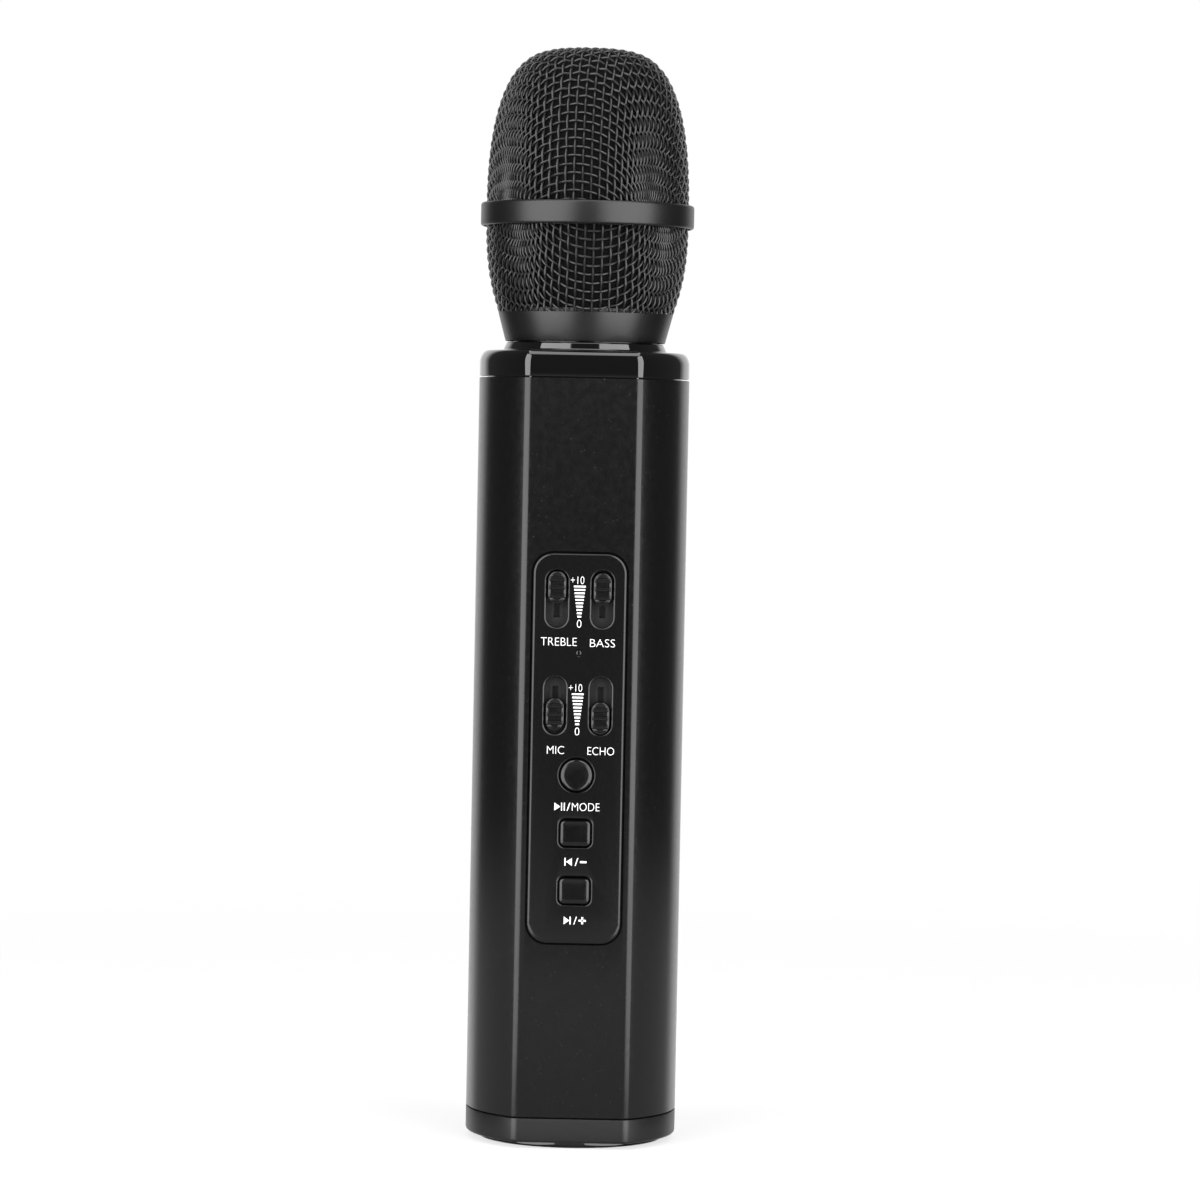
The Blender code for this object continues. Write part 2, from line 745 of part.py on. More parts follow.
def control_panel():
    """The front panel with its slide slots, button holes and the hole for the light."""
    panel = tray("control_panel", facing_front, SATIN, PANEL_LOW_CHAMFER)
    slot = (SLOT_WIDTH, SLOT_HEIGHT, SLOT_WIDTH / 2)
    for name, x, middle, _ in SLIDERS:
        window(name + "_slot", panel, slot, SLOT_CHAMFER, x, middle)
    for name, width, height, corner, z in BUTTONS:
        hole = (width + 2 * BUTTON_GAP, height + 2 * BUTTON_GAP, corner + BUTTON_GAP)
        slope = BUTTON_HOLE_SLOPE if width > height else 0.0
        window(name + "_hole", panel, hole, BUTTON_HOLE_CHAMFER, 0.0, z, slope)
    hole = 2 * (LIGHT_RADIUS + GAP)
    window("light_hole", panel, (hole, hole, hole / 2), GAP, 0.0, LIGHT_Z)


def slide_control(name, x, middle, rest):
    """One slide control: knob with finger ribs, lever, and the potentiometer's case."""
    axis = axis_empty(name + "_axis", (x, -KNOB_BACK, rest))
    shape = rounded_rectangle(KNOB_WIDTH, KNOB_HEIGHT, KNOB_WIDTH / 2)
    edge = 0.0003
    crown = rounded_rectangle(
        KNOB_WIDTH - 2 * edge, KNOB_HEIGHT - 2 * edge, KNOB_WIDTH / 2 - edge
    )
    rings = [
        facing_front(shape, 0.0),
        facing_front(shape, KNOB_FRONT - KNOB_BACK - edge),
        facing_front(crown, KNOB_FRONT - KNOB_BACK),
    ]
    place = (x, -KNOB_BACK, rest)
    knob = loft(name + "_knob", rings, SATIN, location=place, parent=axis)
    for row in (-1, 0, 1):
        z = rest + row * RIB_PITCH
        half = RIB_WIDTH / 2
        reach = KNOB_WIDTH / 2 - 2 * edge
        low = (x - reach, -KNOB_FRONT - RIB_HEIGHT, z - half)
        high = (x + reach, -KNOB_FRONT + edge, z + half)
        boolean(knob, box(f"{name}_rib_{row + 2}", low, high), "UNION")

    half_x, half_z = LEVER_WIDTH / 2, LEVER_HEIGHT / 2
    low = (x - half_x - GAP, -LEVER_FRONT - GAP, rest - half_z - GAP)
    high = (x + half_x + GAP, -KNOB_BACK + OVERSHOOT, rest + half_z + GAP)
    boolean(knob, box(name + "_pocket", low, high))
    low = (x - half_x, -LEVER_FRONT, rest - half_z)
    high = (x + half_x, -LEVER_BACK, rest + half_z)
    box(name + "_lever", low, high, METAL, axis)

    low = (x - POT_WIDTH / 2, -POT_FRONT, middle - POT_HEIGHT / 2)
    high = (x + POT_WIDTH / 2, -POT_BACK, middle + POT_HEIGHT / 2)
    pot = box(name + "_potentiometer", low, high, METAL)
    reach = TRAVEL + half_z + GAP
    low = (x - half_x - GAP, -POT_FRONT - OVERSHOOT, middle - reach)
    high = (x + half_x + GAP, -POT_SLOT_FLOOR, middle + reach)
    boolean(pot, box(name + "_track", low, high))


def push_button(name, width, height, corner, z):
    """One push button with its flange, and the tact switch that it presses."""
    axis = axis_empty(name + "_axis", (0, -BUTTON_BACK, z))
    edge = BUTTON_CHAMFER
    flange = rounded_rectangle(
        width + 2 * BUTTON_FLANGE, height + 2 * BUTTON_FLANGE, corner + BUTTON_FLANGE
    )
    cap = rounded_rectangle(width, height, corner)
    crown = rounded_rectangle(width - 2 * edge, height - 2 * edge, corner - edge)
    rings = [
        facing_front(flange, 0.0),
        facing_front(flange, BUTTON_FLANGE_FRONT - BUTTON_BACK),
        facing_front(cap, BUTTON_FLANGE_FRONT - BUTTON_BACK),
        facing_front(cap, BUTTON_FRONT - BUTTON_BACK - edge),
        facing_front(crown, BUTTON_FRONT - BUTTON_BACK),
    ]
    loft(name + "_button", rings, GLOSS, location=(0, -BUTTON_BACK, z), parent=axis)

    half = SWITCH_SIZE / 2
    low, high = (-half, -SWITCH_FRONT, z - half), (half, -POT_BACK, z + half)
    case = box(name + "_switch", low, high, METAL)
    well = PLUNGER_RADIUS + GAP
    depth = SWITCH_FRONT - SWITCH_FLOOR
    profile = ((0.0, OVERSHOOT), (well, OVERSHOOT), (well, -depth), (0.0, -depth))
    mouth = (0, -SWITCH_FRONT, z)
    boolean(case, turned(name + "_well", profile, None, 12, mouth, TOWARDS_FRONT))
    length = PLUNGER_FRONT - PLUNGER_BACK
    profile = ((0.0, length), (PLUNGER_RADIUS, length), (PLUNGER_RADIUS, 0.0), (0.0, 0.0))
    place = (0, -PLUNGER_BACK, z)
    turned(name + "_plunger", profile, RUBBER, 12, place, TOWARDS_FRONT, axis)


def status_light():
    """The light pipe in the panel and the lamp on the board behind it."""
    front, back = FLAT_Y + PANEL_PROUD - GAP / 2, POT_FRONT
    length = front - back
    profile = ((0.0, length), (LIGHT_RADIUS, length), (LIGHT_RADIUS, 0.0), (0.0, 0.0))
    place = (0, -back, LIGHT_Z)
    turned("status_light_pipe", profile, CLEAR, 16, place, TOWARDS_FRONT)
    half_x, half_z, height = 0.0008, 0.0004, 0.0006
    low = (-half_x, -POT_BACK - height, LIGHT_Z - half_z)
    box("status_led", low, (half_x, -POT_BACK, LIGHT_Z + half_z), CLEAR)


def control_board():
    half = BOARD_WIDTH / 2
    low = (-half, -BOARD_FRONT, BOARD_LOW)
    box("control_board", low, (half, BOARD_THICKNESS - BOARD_FRONT, BOARD_HIGH), LAMINATE)


# ---------------------------------------------------------------- speakers


def grille_holes():
    """Cutters for a hexagonal field of holes in front of each loudspeaker."""
    places = []
    for row in range(-GRILLE_HOLE_RINGS, GRILLE_HOLE_RINGS + 1):
        count = 2 * GRILLE_HOLE_RINGS + 1 - abs(row)
        for column in range(count):
            x = (column - (count - 1) / 2) * GRILLE_HOLE_PITCH
            places.append((x, row * GRILLE_HOLE_PITCH * math.sqrt(3) / 2))
    return places


def speaker_grille():
    """The perforated rear grille, a shallow tray that drops in from inside the tube."""
    grille = tray("speaker_grille", facing_back, PAINT, PANEL_CHAMFER)
    face = FLAT_Y + PANEL_PROUD
    middle = (PANEL_LOW + PANEL_HIGH) / 2
    width = PANEL_WIDTH - 2 * GRILLE_RIM
    height = PANEL_HIGH - PANEL_LOW - 2 * GRILLE_RIM
    outline = rounded_rectangle(width, height, PANEL_CORNER - GRILLE_RIM)
    depths = (PANEL_BACK - OVERSHOOT, face - GRILLE_PLATE)
    pocket = loft("grille_pocket", [facing_back(outline, d, z=middle) for d in depths])
    boolean(grille, pocket)
    bm = bmesh.new()
    for _, z in SPEAKERS:
        for x, up in grille_holes():
            made = bmesh.ops.create_cone(
                bm,
                cap_ends=True,
                segments=8,
                radius1=GRILLE_HOLE_RADIUS,
                radius2=GRILLE_HOLE_RADIUS,
                depth=2 * OVERSHOOT,
            )
            bmesh.ops.translate(bm, vec=(x, z + up, 0.0), verts=made["verts"])
    mesh = bpy.data.meshes.new("grille_holes")
    bm.to_mesh(mesh)
    bm.free()
    holes = add("grille_holes", mesh, None, (0, face, 0), (TOWARDS_FRONT, 0, 0))
    boolean(grille, holes)


def loudspeaker(name, z):
    """A small full-range driver: pressed basket, moving cone and magnet."""
    place = (0, SPEAKER_FRONT, z)
    rim, lip = SPEAKER_RADIUS, SPEAKER_RADIUS - 0.0018
    waist, foot = 0.0092, 0.0035
    basket = (
        (lip, 0.0),
        (rim, 0.0),
        (rim, -0.0012),
        (lip - 0.0003, -0.0012),
        (waist, -0.0072),
        (foot, -0.0072),
        (foot, -0.0064),
        (waist - 0.0006, -0.0064),
        (lip - 0.001, -0.0012),
    )
    basket_name = name + "_speaker_basket"
    turned(basket_name, basket, METAL, 24, place, TOWARDS_BACK)
    axis = axis_empty(name + "_cone_axis", place)
    cone = (
        (0.0, -0.0026),
        (0.0034, -0.0034),
        (0.0088, -0.0012),
        (0.0106, -0.0008),
        (0.0106, -0.0013),
        (0.0088, -0.0018),
        (0.0036, -0.0042),
        (0.003, -0.0056),
        (0.0, -0.0056),
    )
    turned(name + "_speaker_cone", cone, PAPER, 24, place, TOWARDS_BACK, axis)
    top, bottom, radius = -0.0075, -0.0125, 0.008
    magnet = ((0.0, top), (radius, top), (radius, bottom), (0.0, bottom))
    turned(name + "_speaker_magnet", magnet, MAGNET, 24, place, TOWARDS_BACK)


def speaker_baffle():
    """The board that both loudspeakers are screwed to."""
    half = BAFFLE_WIDTH / 2
    low, high = (-half, BAFFLE_BACK, PANEL_LOW), (half, BAFFLE_FRONT, PANEL_HIGH)
    baffle = box("speaker_baffle", low, high, NATURAL)
    radius = SPEAKER_RADIUS - 0.0014
    profile = ((0.0, OVERSHOOT), (radius, OVERSHOOT), (radius, -0.004), (0.0, -0.004))
    for name, z in SPEAKERS:
        place = (0, BAFFLE_FRONT, z)
        boolean(baffle, turned(name + "_cutout", profile, None, 24, place, TOWARDS_BACK))


# ---------------------------------------------------------------- inside


def chassis():
    """The moulded plate that carries the boards, with saddles for the cell."""
    half, front, back = 0.02, 0.006, 0.008
    low, high = (-half, front, 0.0145), (half, back, 0.193)
    plate = box("chassis", low, high, NATURAL)
    cell_x, cell_y, cell_radius = -0.0095, -0.0045, 0.00925
    cell_low, cell_high = 0.02, 0.085
    for number, z in enumerate((0.032, 0.07), 1):
        low = (cell_x - cell_radius - 0.001, cell_y, z)
        high = (cell_x + cell_radius + 0.001, front + GAP, z + 0.006)
        boolean(plate, box(f"saddle_{number}", low, high), "UNION")
    radius = cell_radius + GAP
    low, high = cell_low - GAP, cell_high + GAP
    profile = ((0.0, high), (radius, high), (radius, low), (0.0, low))
    boolean(plate, turned("cell_space", profile, None, 32, (cell_x, cell_y, 0)))
    nib_radius, nib = 0.003, 0.0012
    profile = (
        (0.0, cell_high),
        (nib_radius, cell_high),
        (nib_radius, cell_high - nib),
        (cell_radius, cell_high - nib),
        (cell_radius, cell_low),
        (0.0, cell_low),
    )
    turned("battery_cell", profile, CELL, 32, (cell_x, cell_y, 0))

    board_back = front - GAP
    low = (-0.018, board_back - BOARD_THICKNESS, 0.098)
    box("main_board", low, (0.018, board_back, 0.182), LAMINATE)
    module_back = board_back - BOARD_THICKNESS - GAP
    low = (-0.007, module_back - 0.0024, 0.15)
    box("radio_module", low, (0.007, module_back, 0.17), METAL)


grille_head()
capsule()
top_cap()
body_tube()
base()
control_panel()
for slider in SLIDERS:
    slide_control(*slider)
for button in BUTTONS:
    push_button(*button)
status_light()
control_board()
speaker_grille()
speaker_baffle()
for speaker in SPEAKERS:
    loudspeaker(*speaker)
chassis()
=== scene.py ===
import math

import bmesh
import bpy
import numpy as np
from mathutils import Matrix, Quaternion, Vector, noise


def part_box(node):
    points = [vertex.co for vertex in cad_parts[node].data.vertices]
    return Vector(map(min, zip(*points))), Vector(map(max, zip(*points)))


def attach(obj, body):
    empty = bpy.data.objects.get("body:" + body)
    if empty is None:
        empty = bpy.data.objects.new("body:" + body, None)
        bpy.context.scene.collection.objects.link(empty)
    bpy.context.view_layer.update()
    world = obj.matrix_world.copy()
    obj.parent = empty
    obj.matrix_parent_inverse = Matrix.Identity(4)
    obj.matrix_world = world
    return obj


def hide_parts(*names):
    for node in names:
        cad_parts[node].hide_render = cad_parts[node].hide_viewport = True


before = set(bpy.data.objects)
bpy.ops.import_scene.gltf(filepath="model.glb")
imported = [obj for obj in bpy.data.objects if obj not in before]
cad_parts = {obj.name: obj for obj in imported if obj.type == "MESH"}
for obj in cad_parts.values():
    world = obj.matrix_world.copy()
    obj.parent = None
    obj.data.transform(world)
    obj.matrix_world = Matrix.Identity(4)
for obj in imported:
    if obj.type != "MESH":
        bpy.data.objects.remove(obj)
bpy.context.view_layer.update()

# ---------------------------------------------------------------- camera
# The microphone stands upright. A long lens looks at it from the front, 1.26 m away
# and 181 mm up, and is turned a little, so that the head leans right.

MM = 0.001
scene = bpy.context.scene
camera_data = bpy.data.cameras.new("camera")
camera_data.sensor_width = 36.0
camera_data.lens = 146.9
camera = bpy.data.objects.new("camera", camera_data)
scene.collection.objects.link(camera)
eye = Vector((5.1, -1261.0, 181.3)) * MM
aim = Vector((5.1, 0.0, 138.5)) * MM
lean = Quaternion((0.0, 0.0, 1.0), math.radians(1.12))
camera.location = eye
camera.rotation_mode = "QUATERNION"
camera.rotation_quaternion = (aim - eye).to_track_quat("-Z", "Y") @ lean
scene.camera = camera

# ---------------------------------------------------------------- body tube
# An aluminium tube with a flat front and back and two wide round sides, extruded and
# sawn to length. It is sprayed satin black with a fine metal flake, then baked.

BODY = "microphone_body"
tube_low, tube_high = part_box("body_tube")
HALF_DEPTH = tube_high.y
CREASE_RADIUS = 2.8 * MM
SIDE_RADIUS = 33.0 * MM
SIDE_CENTRE = Vector((tube_high.x - SIDE_RADIUS, 0.0))
CREASE_CENTRE = Vector((13.213 * MM, CREASE_RADIUS - HALF_DEPTH))
CREASE_TURN = math.atan2(
    CREASE_CENTRE.x - SIDE_CENTRE.x, SIDE_CENTRE.y - CREASE_CENTRE.y
)
TUBE_WALL = 1.6 * MM


def colour(code):
    """An sRGB hex colour as linear red, green, blue and alpha."""
    parts = [int(code[i : i + 2], 16) / 255 for i in (1, 3, 5)]
    return (*[c / 12.92 if c < 0.04045 else ((c + 0.055) / 1.055) ** 2.4 for c in parts], 1.0)


def add_node(tree, kind, inputs=(), **settings):
    """Adds a shader node. An input is a value, or another node's socket to link to it."""
    made = tree.nodes.new("ShaderNode" + kind)
    for name, value in settings.items():
        setattr(made, name, value)
    for name, value in dict(inputs).items():
        if isinstance(value, bpy.types.NodeSocket):
            tree.links.new(value, made.inputs[name])
        else:
            made.inputs[name].default_value = value
    return made


def new_material(name, base, roughness, metallic=0.0, **sockets):
    """A material with one Principled shader, its values set on the shader's own sockets."""
    made = bpy.data.materials.new(name)
    made.use_nodes = True
    shader = made.node_tree.nodes["Principled BSDF"]
    shader.inputs["Base Color"].default_value = colour(base)
    shader.inputs["Roughness"].default_value = roughness
    shader.inputs["Metallic"].default_value = metallic
    for socket, value in sockets.items():
        shader.inputs[socket.replace("_", " ")].default_value = value
    return made


def grain(material, size, depth, stretch=(1.0, 1.0, 1.0), shade=0.0, gloss=0.0, detail=4.0):
    """Gives a material a surface grain: its size and depth in metres, how far it is drawn
    out along each axis, and how much it changes the colour and the roughness."""
    tree = material.node_tree
    shader = tree.nodes["Principled BSDF"]
    place = add_node(tree, "TexCoord")
    drawn = add_node(
        tree, "Mapping", {"Vector": place.outputs["Object"], "Scale": [1 / s for s in stretch]}
    )
    cloud = add_node(
        tree, "TexNoise", {"Vector": drawn.outputs[0], "Scale": 1 / size, "Detail": detail}
    )
    bump = add_node(tree, "Bump", {"Height": cloud.outputs["Fac"], "Distance": depth})
    tree.links.new(bump.outputs[0], shader.inputs["Normal"])
    if gloss:
        base = shader.inputs["Roughness"].default_value
        span = {"Value": cloud.outputs["Fac"], "From Min": 0.3, "From Max": 0.7}
        span |= {"To Min": base - gloss, "To Max": base + gloss}
        tree.links.new(add_node(tree, "MapRange", span).outputs[0], shader.inputs["Roughness"])
    if shade:
        base = shader.inputs["Base Color"].default_value[:3]
        ramp = add_node(tree, "ValToRGB", {"Fac": cloud.outputs["Fac"]})
        for stop, place_at, change in zip(ramp.color_ramp.elements, (0.3, 0.7), (-shade, shade)):
            stop.position = place_at
            stop.color = (*[c * (1 + change) for c in base], 1.0)
        tree.links.new(ramp.outputs[0], shader.inputs["Base Color"])


def piece(name, mesh, material, body, *nodes, slot=None, sharp=32.0):
    """Makes a finished bmesh an object that rides on a body and stands for CAD nodes."""
    data = bpy.data.meshes.new(name)
    mesh.to_mesh(data)
    mesh.free()
    data.materials.append(material)
    data.shade_smooth()
    data.set_sharp_from_angle(angle=math.radians(sharp))
    made = bpy.data.objects.new(name, data)
    scene.collection.objects.link(made)
    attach(made, body)
    if nodes:
        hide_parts(*nodes)
    return made


def outline(mesh, start, path, place):
    """A closed loop of edges: straight runs and arcs make a quarter, which is mirrored
    both ways and then placed. A run is a point, and an arc is (centre, angle, steps)."""
    old_verts, old_edges = set(mesh.verts), set(mesh.edges)
    tip = mesh.verts.new((*start, 0.0))
    for step in path:
        if len(step) == 3:
            centre, turn, steps = step
            spun = bmesh.ops.spin(
                mesh, geom=[tip], cent=(*centre, 0.0), axis=(0, 0, 1), angle=turn, steps=steps
            )
            tip = spun["geom_last"][0]
        elif (Vector(step) - tip.co.xy).length > 1e-7:
            tip = bmesh.ops.extrude_vert_indiv(mesh, verts=[tip])["verts"][0]
            tip.co = (*step, 0.0)
    for axis in "XY":
        half = [v for v in mesh.verts if v not in old_verts]
        half += [e for e in mesh.edges if e not in old_edges]
        bmesh.ops.mirror(
            mesh, geom=half, matrix=Matrix.Identity(4), merge_dist=1e-6, axis=axis
        )
    bmesh.ops.transform(mesh, matrix=place, verts=[v for v in mesh.verts if v not in old_verts])
    return [e for e in mesh.edges if e not in old_edges]


def body_loop(mesh, inset, height):
    """The body's outline at a height, set in from its sides."""
    front = inset - HALF_DEPTH
    path = [
        (CREASE_CENTRE.x - 0.3 * MM, front),
        (CREASE_CENTRE.x, front),
        (CREASE_CENTRE, CREASE_TURN, 8),
        (SIDE_CENTRE, math.pi / 2 - CREASE_TURN, 24),
    ]
    return outline(mesh, (0.0, front), path, Matrix.Translation((0, 0, height)))


def rounded(mesh, width, height, corner, place, steps=8):
    """A rectangle with round corners, about the middle of its place."""
    half_w, half_h = width / 2, height / 2
    path = [
        (half_w - corner, -half_h),
        ((half_w - corner, corner - half_h), math.pi / 2, steps),
        (half_w, 0.0),
    ]
    return outline(mesh, (0.0, -half_h), path, place)


def window_loop(mesh, width, height, corner, x, y, z):
    """A rounded rectangle that stands upright and faces the front."""
    place = Matrix.Translation((x, y, z)) @ Matrix.Rotation(math.pi / 2, 4, "X")
    return rounded(mesh, width, height, corner, place)


def loft(mesh, loops, closed=False):
    """Joins loops of edges into one closed skin, in order."""
    pairs = list(zip(loops, loops[1:]))
    if closed:
        pairs.append((loops[-1], loops[0]))
    for lower, upper in pairs:
        ends = list({v for edge in upper for v in edge.verts})
        spans = [max(v.co[i] for v in ends) - min(v.co[i] for v in ends) for i in range(3)]
        hair = Vector([0.02 * MM if span == min(spans) else 0.0 for span in spans])
        bmesh.ops.translate(mesh, verts=ends, vec=hair)  # loops in one plane would cross over
        bmesh.ops.bridge_loops(mesh, edges=lower + upper)
        bmesh.ops.translate(mesh, verts=ends, vec=-hair)
    if not closed:
        for end in (loops[0], loops[-1]):
            bmesh.ops.edgeloop_fill(mesh, edges=end)
    bmesh.ops.recalc_face_normals(mesh, faces=mesh.faces)
    return mesh


def cut(mesh, *cutters):
    """What is left of a bmesh after other ones are taken away from it."""
    for cutter in cutters:
        blanks = []
        for shape in (mesh, cutter):
            data = bpy.data.meshes.new("blank")
            shape.to_mesh(data)
            shape.free()
            blanks.append(bpy.data.objects.new("blank", data))
            scene.collection.objects.link(blanks[-1])
        boolean = blanks[0].modifiers.new("cut", "BOOLEAN")
        boolean.object = blanks[1]
        mesh = bmesh.new()
        mesh.from_object(blanks[0], bpy.context.evaluated_depsgraph_get())
        for blank in blanks:
            bpy.data.meshes.remove(blank.data)
    return mesh


tube = bmesh.new()
rim = (
    (0.25, tube_low.z, 0.0),
    (0.07, tube_low.z, 0.07),
    (0.0, tube_low.z, 0.25),
    (0.0, tube_high.z, -0.25),
    (0.07, tube_high.z, -0.07),
    (0.25, tube_high.z, 0.0),
    (1.6, tube_high.z, 0.0),
    (1.6, tube_low.z, 0.0),
)
loft(tube, [body_loop(tube, inset * MM, z + dz * MM) for inset, z, dz in rim], closed=True)

panel_low, panel_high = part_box("control_panel")
PANEL_WIDTH = 23.6 * MM
PANEL_HEIGHT = 98.6 * MM
PANEL_CORNER = 5.0 * MM
PANEL_MIDDLE = (panel_low.z + panel_high.z) / 2
FIT = 0.3 * MM
for facing in (-1, 1):
    opening = bmesh.new()
    steps = ((TUBE_WALL + MM, 0.0), (0.22 * MM, 0.0), (-0.1 * MM, 0.32 * MM))
    loops = []
    for depth, flare in steps:
        extra = 2 * (FIT + flare)
        y = facing * (HALF_DEPTH - depth)
        size = (PANEL_WIDTH + extra, PANEL_HEIGHT + extra, PANEL_CORNER + extra / 2)
        loops.append(window_loop(opening, *size, 0.0, y, PANEL_MIDDLE))
    tube = cut(tube, loft(opening, loops))

# Satin black stoving paint on aluminium: an even soft sheen, a faint orange peel, and a
# flake of 0.16 mm. Real flake is nearer 0.03 mm; it is drawn coarser so that it shows.
FLAKE = 0.16 * MM
tube_paint = new_material("satin_black_paint_on_aluminium", "#050506", 0.22)
grain(tube_paint, 1.6 * MM, 0.005 * MM, gloss=0.02, detail=2.0)
tree = tube_paint.node_tree
place = add_node(tree, "TexCoord")
flakes = add_node(tree, "TexVoronoi", {"Vector": place.outputs["Object"], "Scale": 1 / FLAKE})
bright = add_node(tree, "ValToRGB", {"Fac": flakes.outputs["Color"]})
bright.color_ramp.elements[0].position = 0.93
bright.color_ramp.elements[0].color = colour("#050506")
bright.color_ramp.elements[1].position = 0.995
bright.color_ramp.elements[1].color = colour("#38383c")
tree.links.new(bright.outputs[0], tree.nodes["Principled BSDF"].inputs["Base Color"])
piece("tube_shell", tube, tube_paint, BODY, "body_tube", slot="tube_paint")

# ---------------------------------------------------------------- top cap
# A piano-black ABS cap, moulded in one with the round boss that the head screws down
# to. Its spigot is pressed into the tube, and its shoulder is rounded and polished.

cap_low, cap_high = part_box("top_cap")
SHOULDER = 199.2 * MM
CAP_TOP = 202.2 * MM
TOP_SEAM = tube_high.z + FIT
SHOULDER_DEPTH = 1.9 * MM
SHOULDER_CURVE = 0.86


def round_loop(mesh, radius, height, steps=96):
    """A level circle of edges about the microphone's axis."""
    old = set(mesh.edges)
    place = Matrix.Translation((0, 0, height))
    bmesh.ops.create_circle(mesh, segments=steps, radius=radius, matrix=place)
    return [e for e in mesh.edges if e not in old]


cap = bmesh.new()
shell = [(3.4, cap_low.z), (1.9, cap_low.z), (1.9, TOP_SEAM), (0.2, TOP_SEAM)]
shell += [(0.06, TOP_SEAM + 0.06 * MM), (0.0, TOP_SEAM + 0.2 * MM), (0.0, SHOULDER)]
loops = [body_loop(cap, inset * MM, z) for inset, z in shell]
for step in range(1, 11):
    turn = math.radians(9 * step)
    inset = SHOULDER_DEPTH * (1 - math.cos(turn)) ** SHOULDER_CURVE
    loops.append(body_loop(cap, inset, SHOULDER + (CAP_TOP - SHOULDER) * math.sin(turn)))
boss = [(21.75, 202.2), (21.35, 202.26), (21.05, 202.45), (20.9, 202.75), (20.35, 204.0)]
boss += [(20.25, 204.2), (20.1, cap_high.z / MM), (17.0, cap_high.z / MM), (17.0, 199.2)]
loops += [round_loop(cap, radius * MM, z * MM) for radius, z in boss]
loops.append(body_loop(cap, 3.4 * MM, SHOULDER))
loft(cap, loops, closed=True)

# Piano-black ABS: dyed right through and polished, with only a breath of haze.
cap_gloss = new_material("polished_abs", "#050505", 0.05, IOR=1.53, Coat_Weight=0.6)
cap_gloss.node_tree.nodes["Principled BSDF"].inputs["Coat Roughness"].default_value = 0.02
grain(cap_gloss, 9.0 * MM, 0.004 * MM, gloss=0.015, detail=1.0)
piece("gloss_cap", cap, cap_gloss, BODY, "top_cap", slot="cap_gloss")

# ---------------------------------------------------------------- bottom cap and disc
# A satin ABS cap closes the tube, and three screws hold it and the gloss disc that
# the microphone stands on. Both are open for the sockets, the card and the switch.

base_low, base_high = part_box("bottom_cap")
BOTTOM_SEAM = tube_low.z - FIT
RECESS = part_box("base_disc")[1].x + FIT
BASE_CUT = (-1 * MM, 6 * MM)  # the heights that every opening is cut between


def in_mm(profile, base=0.0):
    """A profile that is given in mm, as metres above a height."""
    return [(radius * MM, base + height * MM) for radius, height in profile]


def turned(mesh, profile, steps=96, closed=True):
    """Spins a profile of (radius, height) about the microphone's axis."""
    verts = [mesh.verts.new((radius, 0.0, height)) for radius, height in profile]
    edges = [mesh.edges.new(pair) for pair in zip(verts, verts[1:])]
    if closed:
        edges.append(mesh.edges.new((verts[-1], verts[0])))
    bmesh.ops.spin(
        mesh,
        geom=verts + edges,
        cent=(0, 0, 0),
        axis=(0, 0, 1),
        angle=2 * math.pi,
        steps=steps,
        use_merge=True,
    )
    bmesh.ops.remove_doubles(mesh, verts=mesh.verts, dist=1e-7)
    bmesh.ops.recalc_face_normals(mesh, faces=mesh.faces)
    return mesh


def base_opening(x, y, width, depth, corner):
    """A rounded block that stands upright, to cut an opening through the base."""
    block = bmesh.new()
    places = [Matrix.Translation((x, y, z)) for z in BASE_CUT]
    return loft(block, [rounded(block, width, depth, corner, place, 4) for place in places])


base_cap = bmesh.new()
skin = [(0.75, base_low.z), (0.4, base_low.z + 0.08 * MM), (0.12, base_low.z + 0.34 * MM)]
skin += [(0.0, base_low.z + 0.75 * MM), (0.0, BOTTOM_SEAM - 0.2 * MM)]
skin += [(0.06, BOTTOM_SEAM - 0.06 * MM), (0.2, BOTTOM_SEAM), (1.9, BOTTOM_SEAM)]
skin += [(1.9, base_high.z), (3.4, base_high.z), (3.4, 5.3 * MM)]
loops = [round_loop(base_cap, RECESS, 2.8 * MM), round_loop(base_cap, RECESS, base_low.z)]
loops += [body_loop(base_cap, inset * MM, z) for inset, z in skin]
loft(base_cap, loops)
disc = bmesh.new()
disc_profile = [(0.0, 2.5), (23.75, 2.5), (23.9, 2.35), (23.9, 0.5), (23.8, 0.2), (23.5, 0.0)]
turned(disc, in_mm([*disc_profile, (0.0, 0.0)]), closed=False)
for opening in (
    (-10.5, 4.0, 8.2, 3.3, 1.2),
    (10.5, 4.0, 8.2, 3.3, 1.2),
    (0.0, -8.5, 15.2, 3.2, 0.4),
    (0.0, 13.5, 6.6, 2.1, 0.3),
):
    opening = [v * MM for v in opening]
    base_cap = cut(base_cap, base_opening(*opening))
    disc = cut(disc, base_opening(*opening))

SCREW_PLACES = []
for number in (1, 2, 3):
    screw_low, screw_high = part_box(f"base_screw_{number}")
    SCREW_PLACES.append((screw_low + screw_high) / 2 * Vector((1, 1, 0)))
BORE = [(0.0, 6.0), (1.0, 6.0), (1.0, 1.25), (1.9, 0.35), (1.98, -1.0), (0.0, -1.0)]


def drill(place):
    """A cutter for one screw's countersunk bore."""
    made = turned(bmesh.new(), in_mm(BORE), 32, closed=False)
    bmesh.ops.translate(made, vec=place, verts=made.verts)
    return made


for place in SCREW_PLACES:
    base_cap = cut(base_cap, drill(place))
    disc = cut(disc, drill(place))

# Satin ABS: a fine spark-eroded grain of 0.25 mm that the mould leaves.
cap_satin = new_material("satin_abs", "#0e0e0f", 0.36)
grain(cap_satin, 0.25 * MM, 0.006 * MM, gloss=0.03)
piece("satin_cap", base_cap, cap_satin, BODY, "bottom_cap", slot="cap_satin")
piece("gloss_disc", disc, cap_gloss, BODY, "base_disc", slot="disc_gloss")

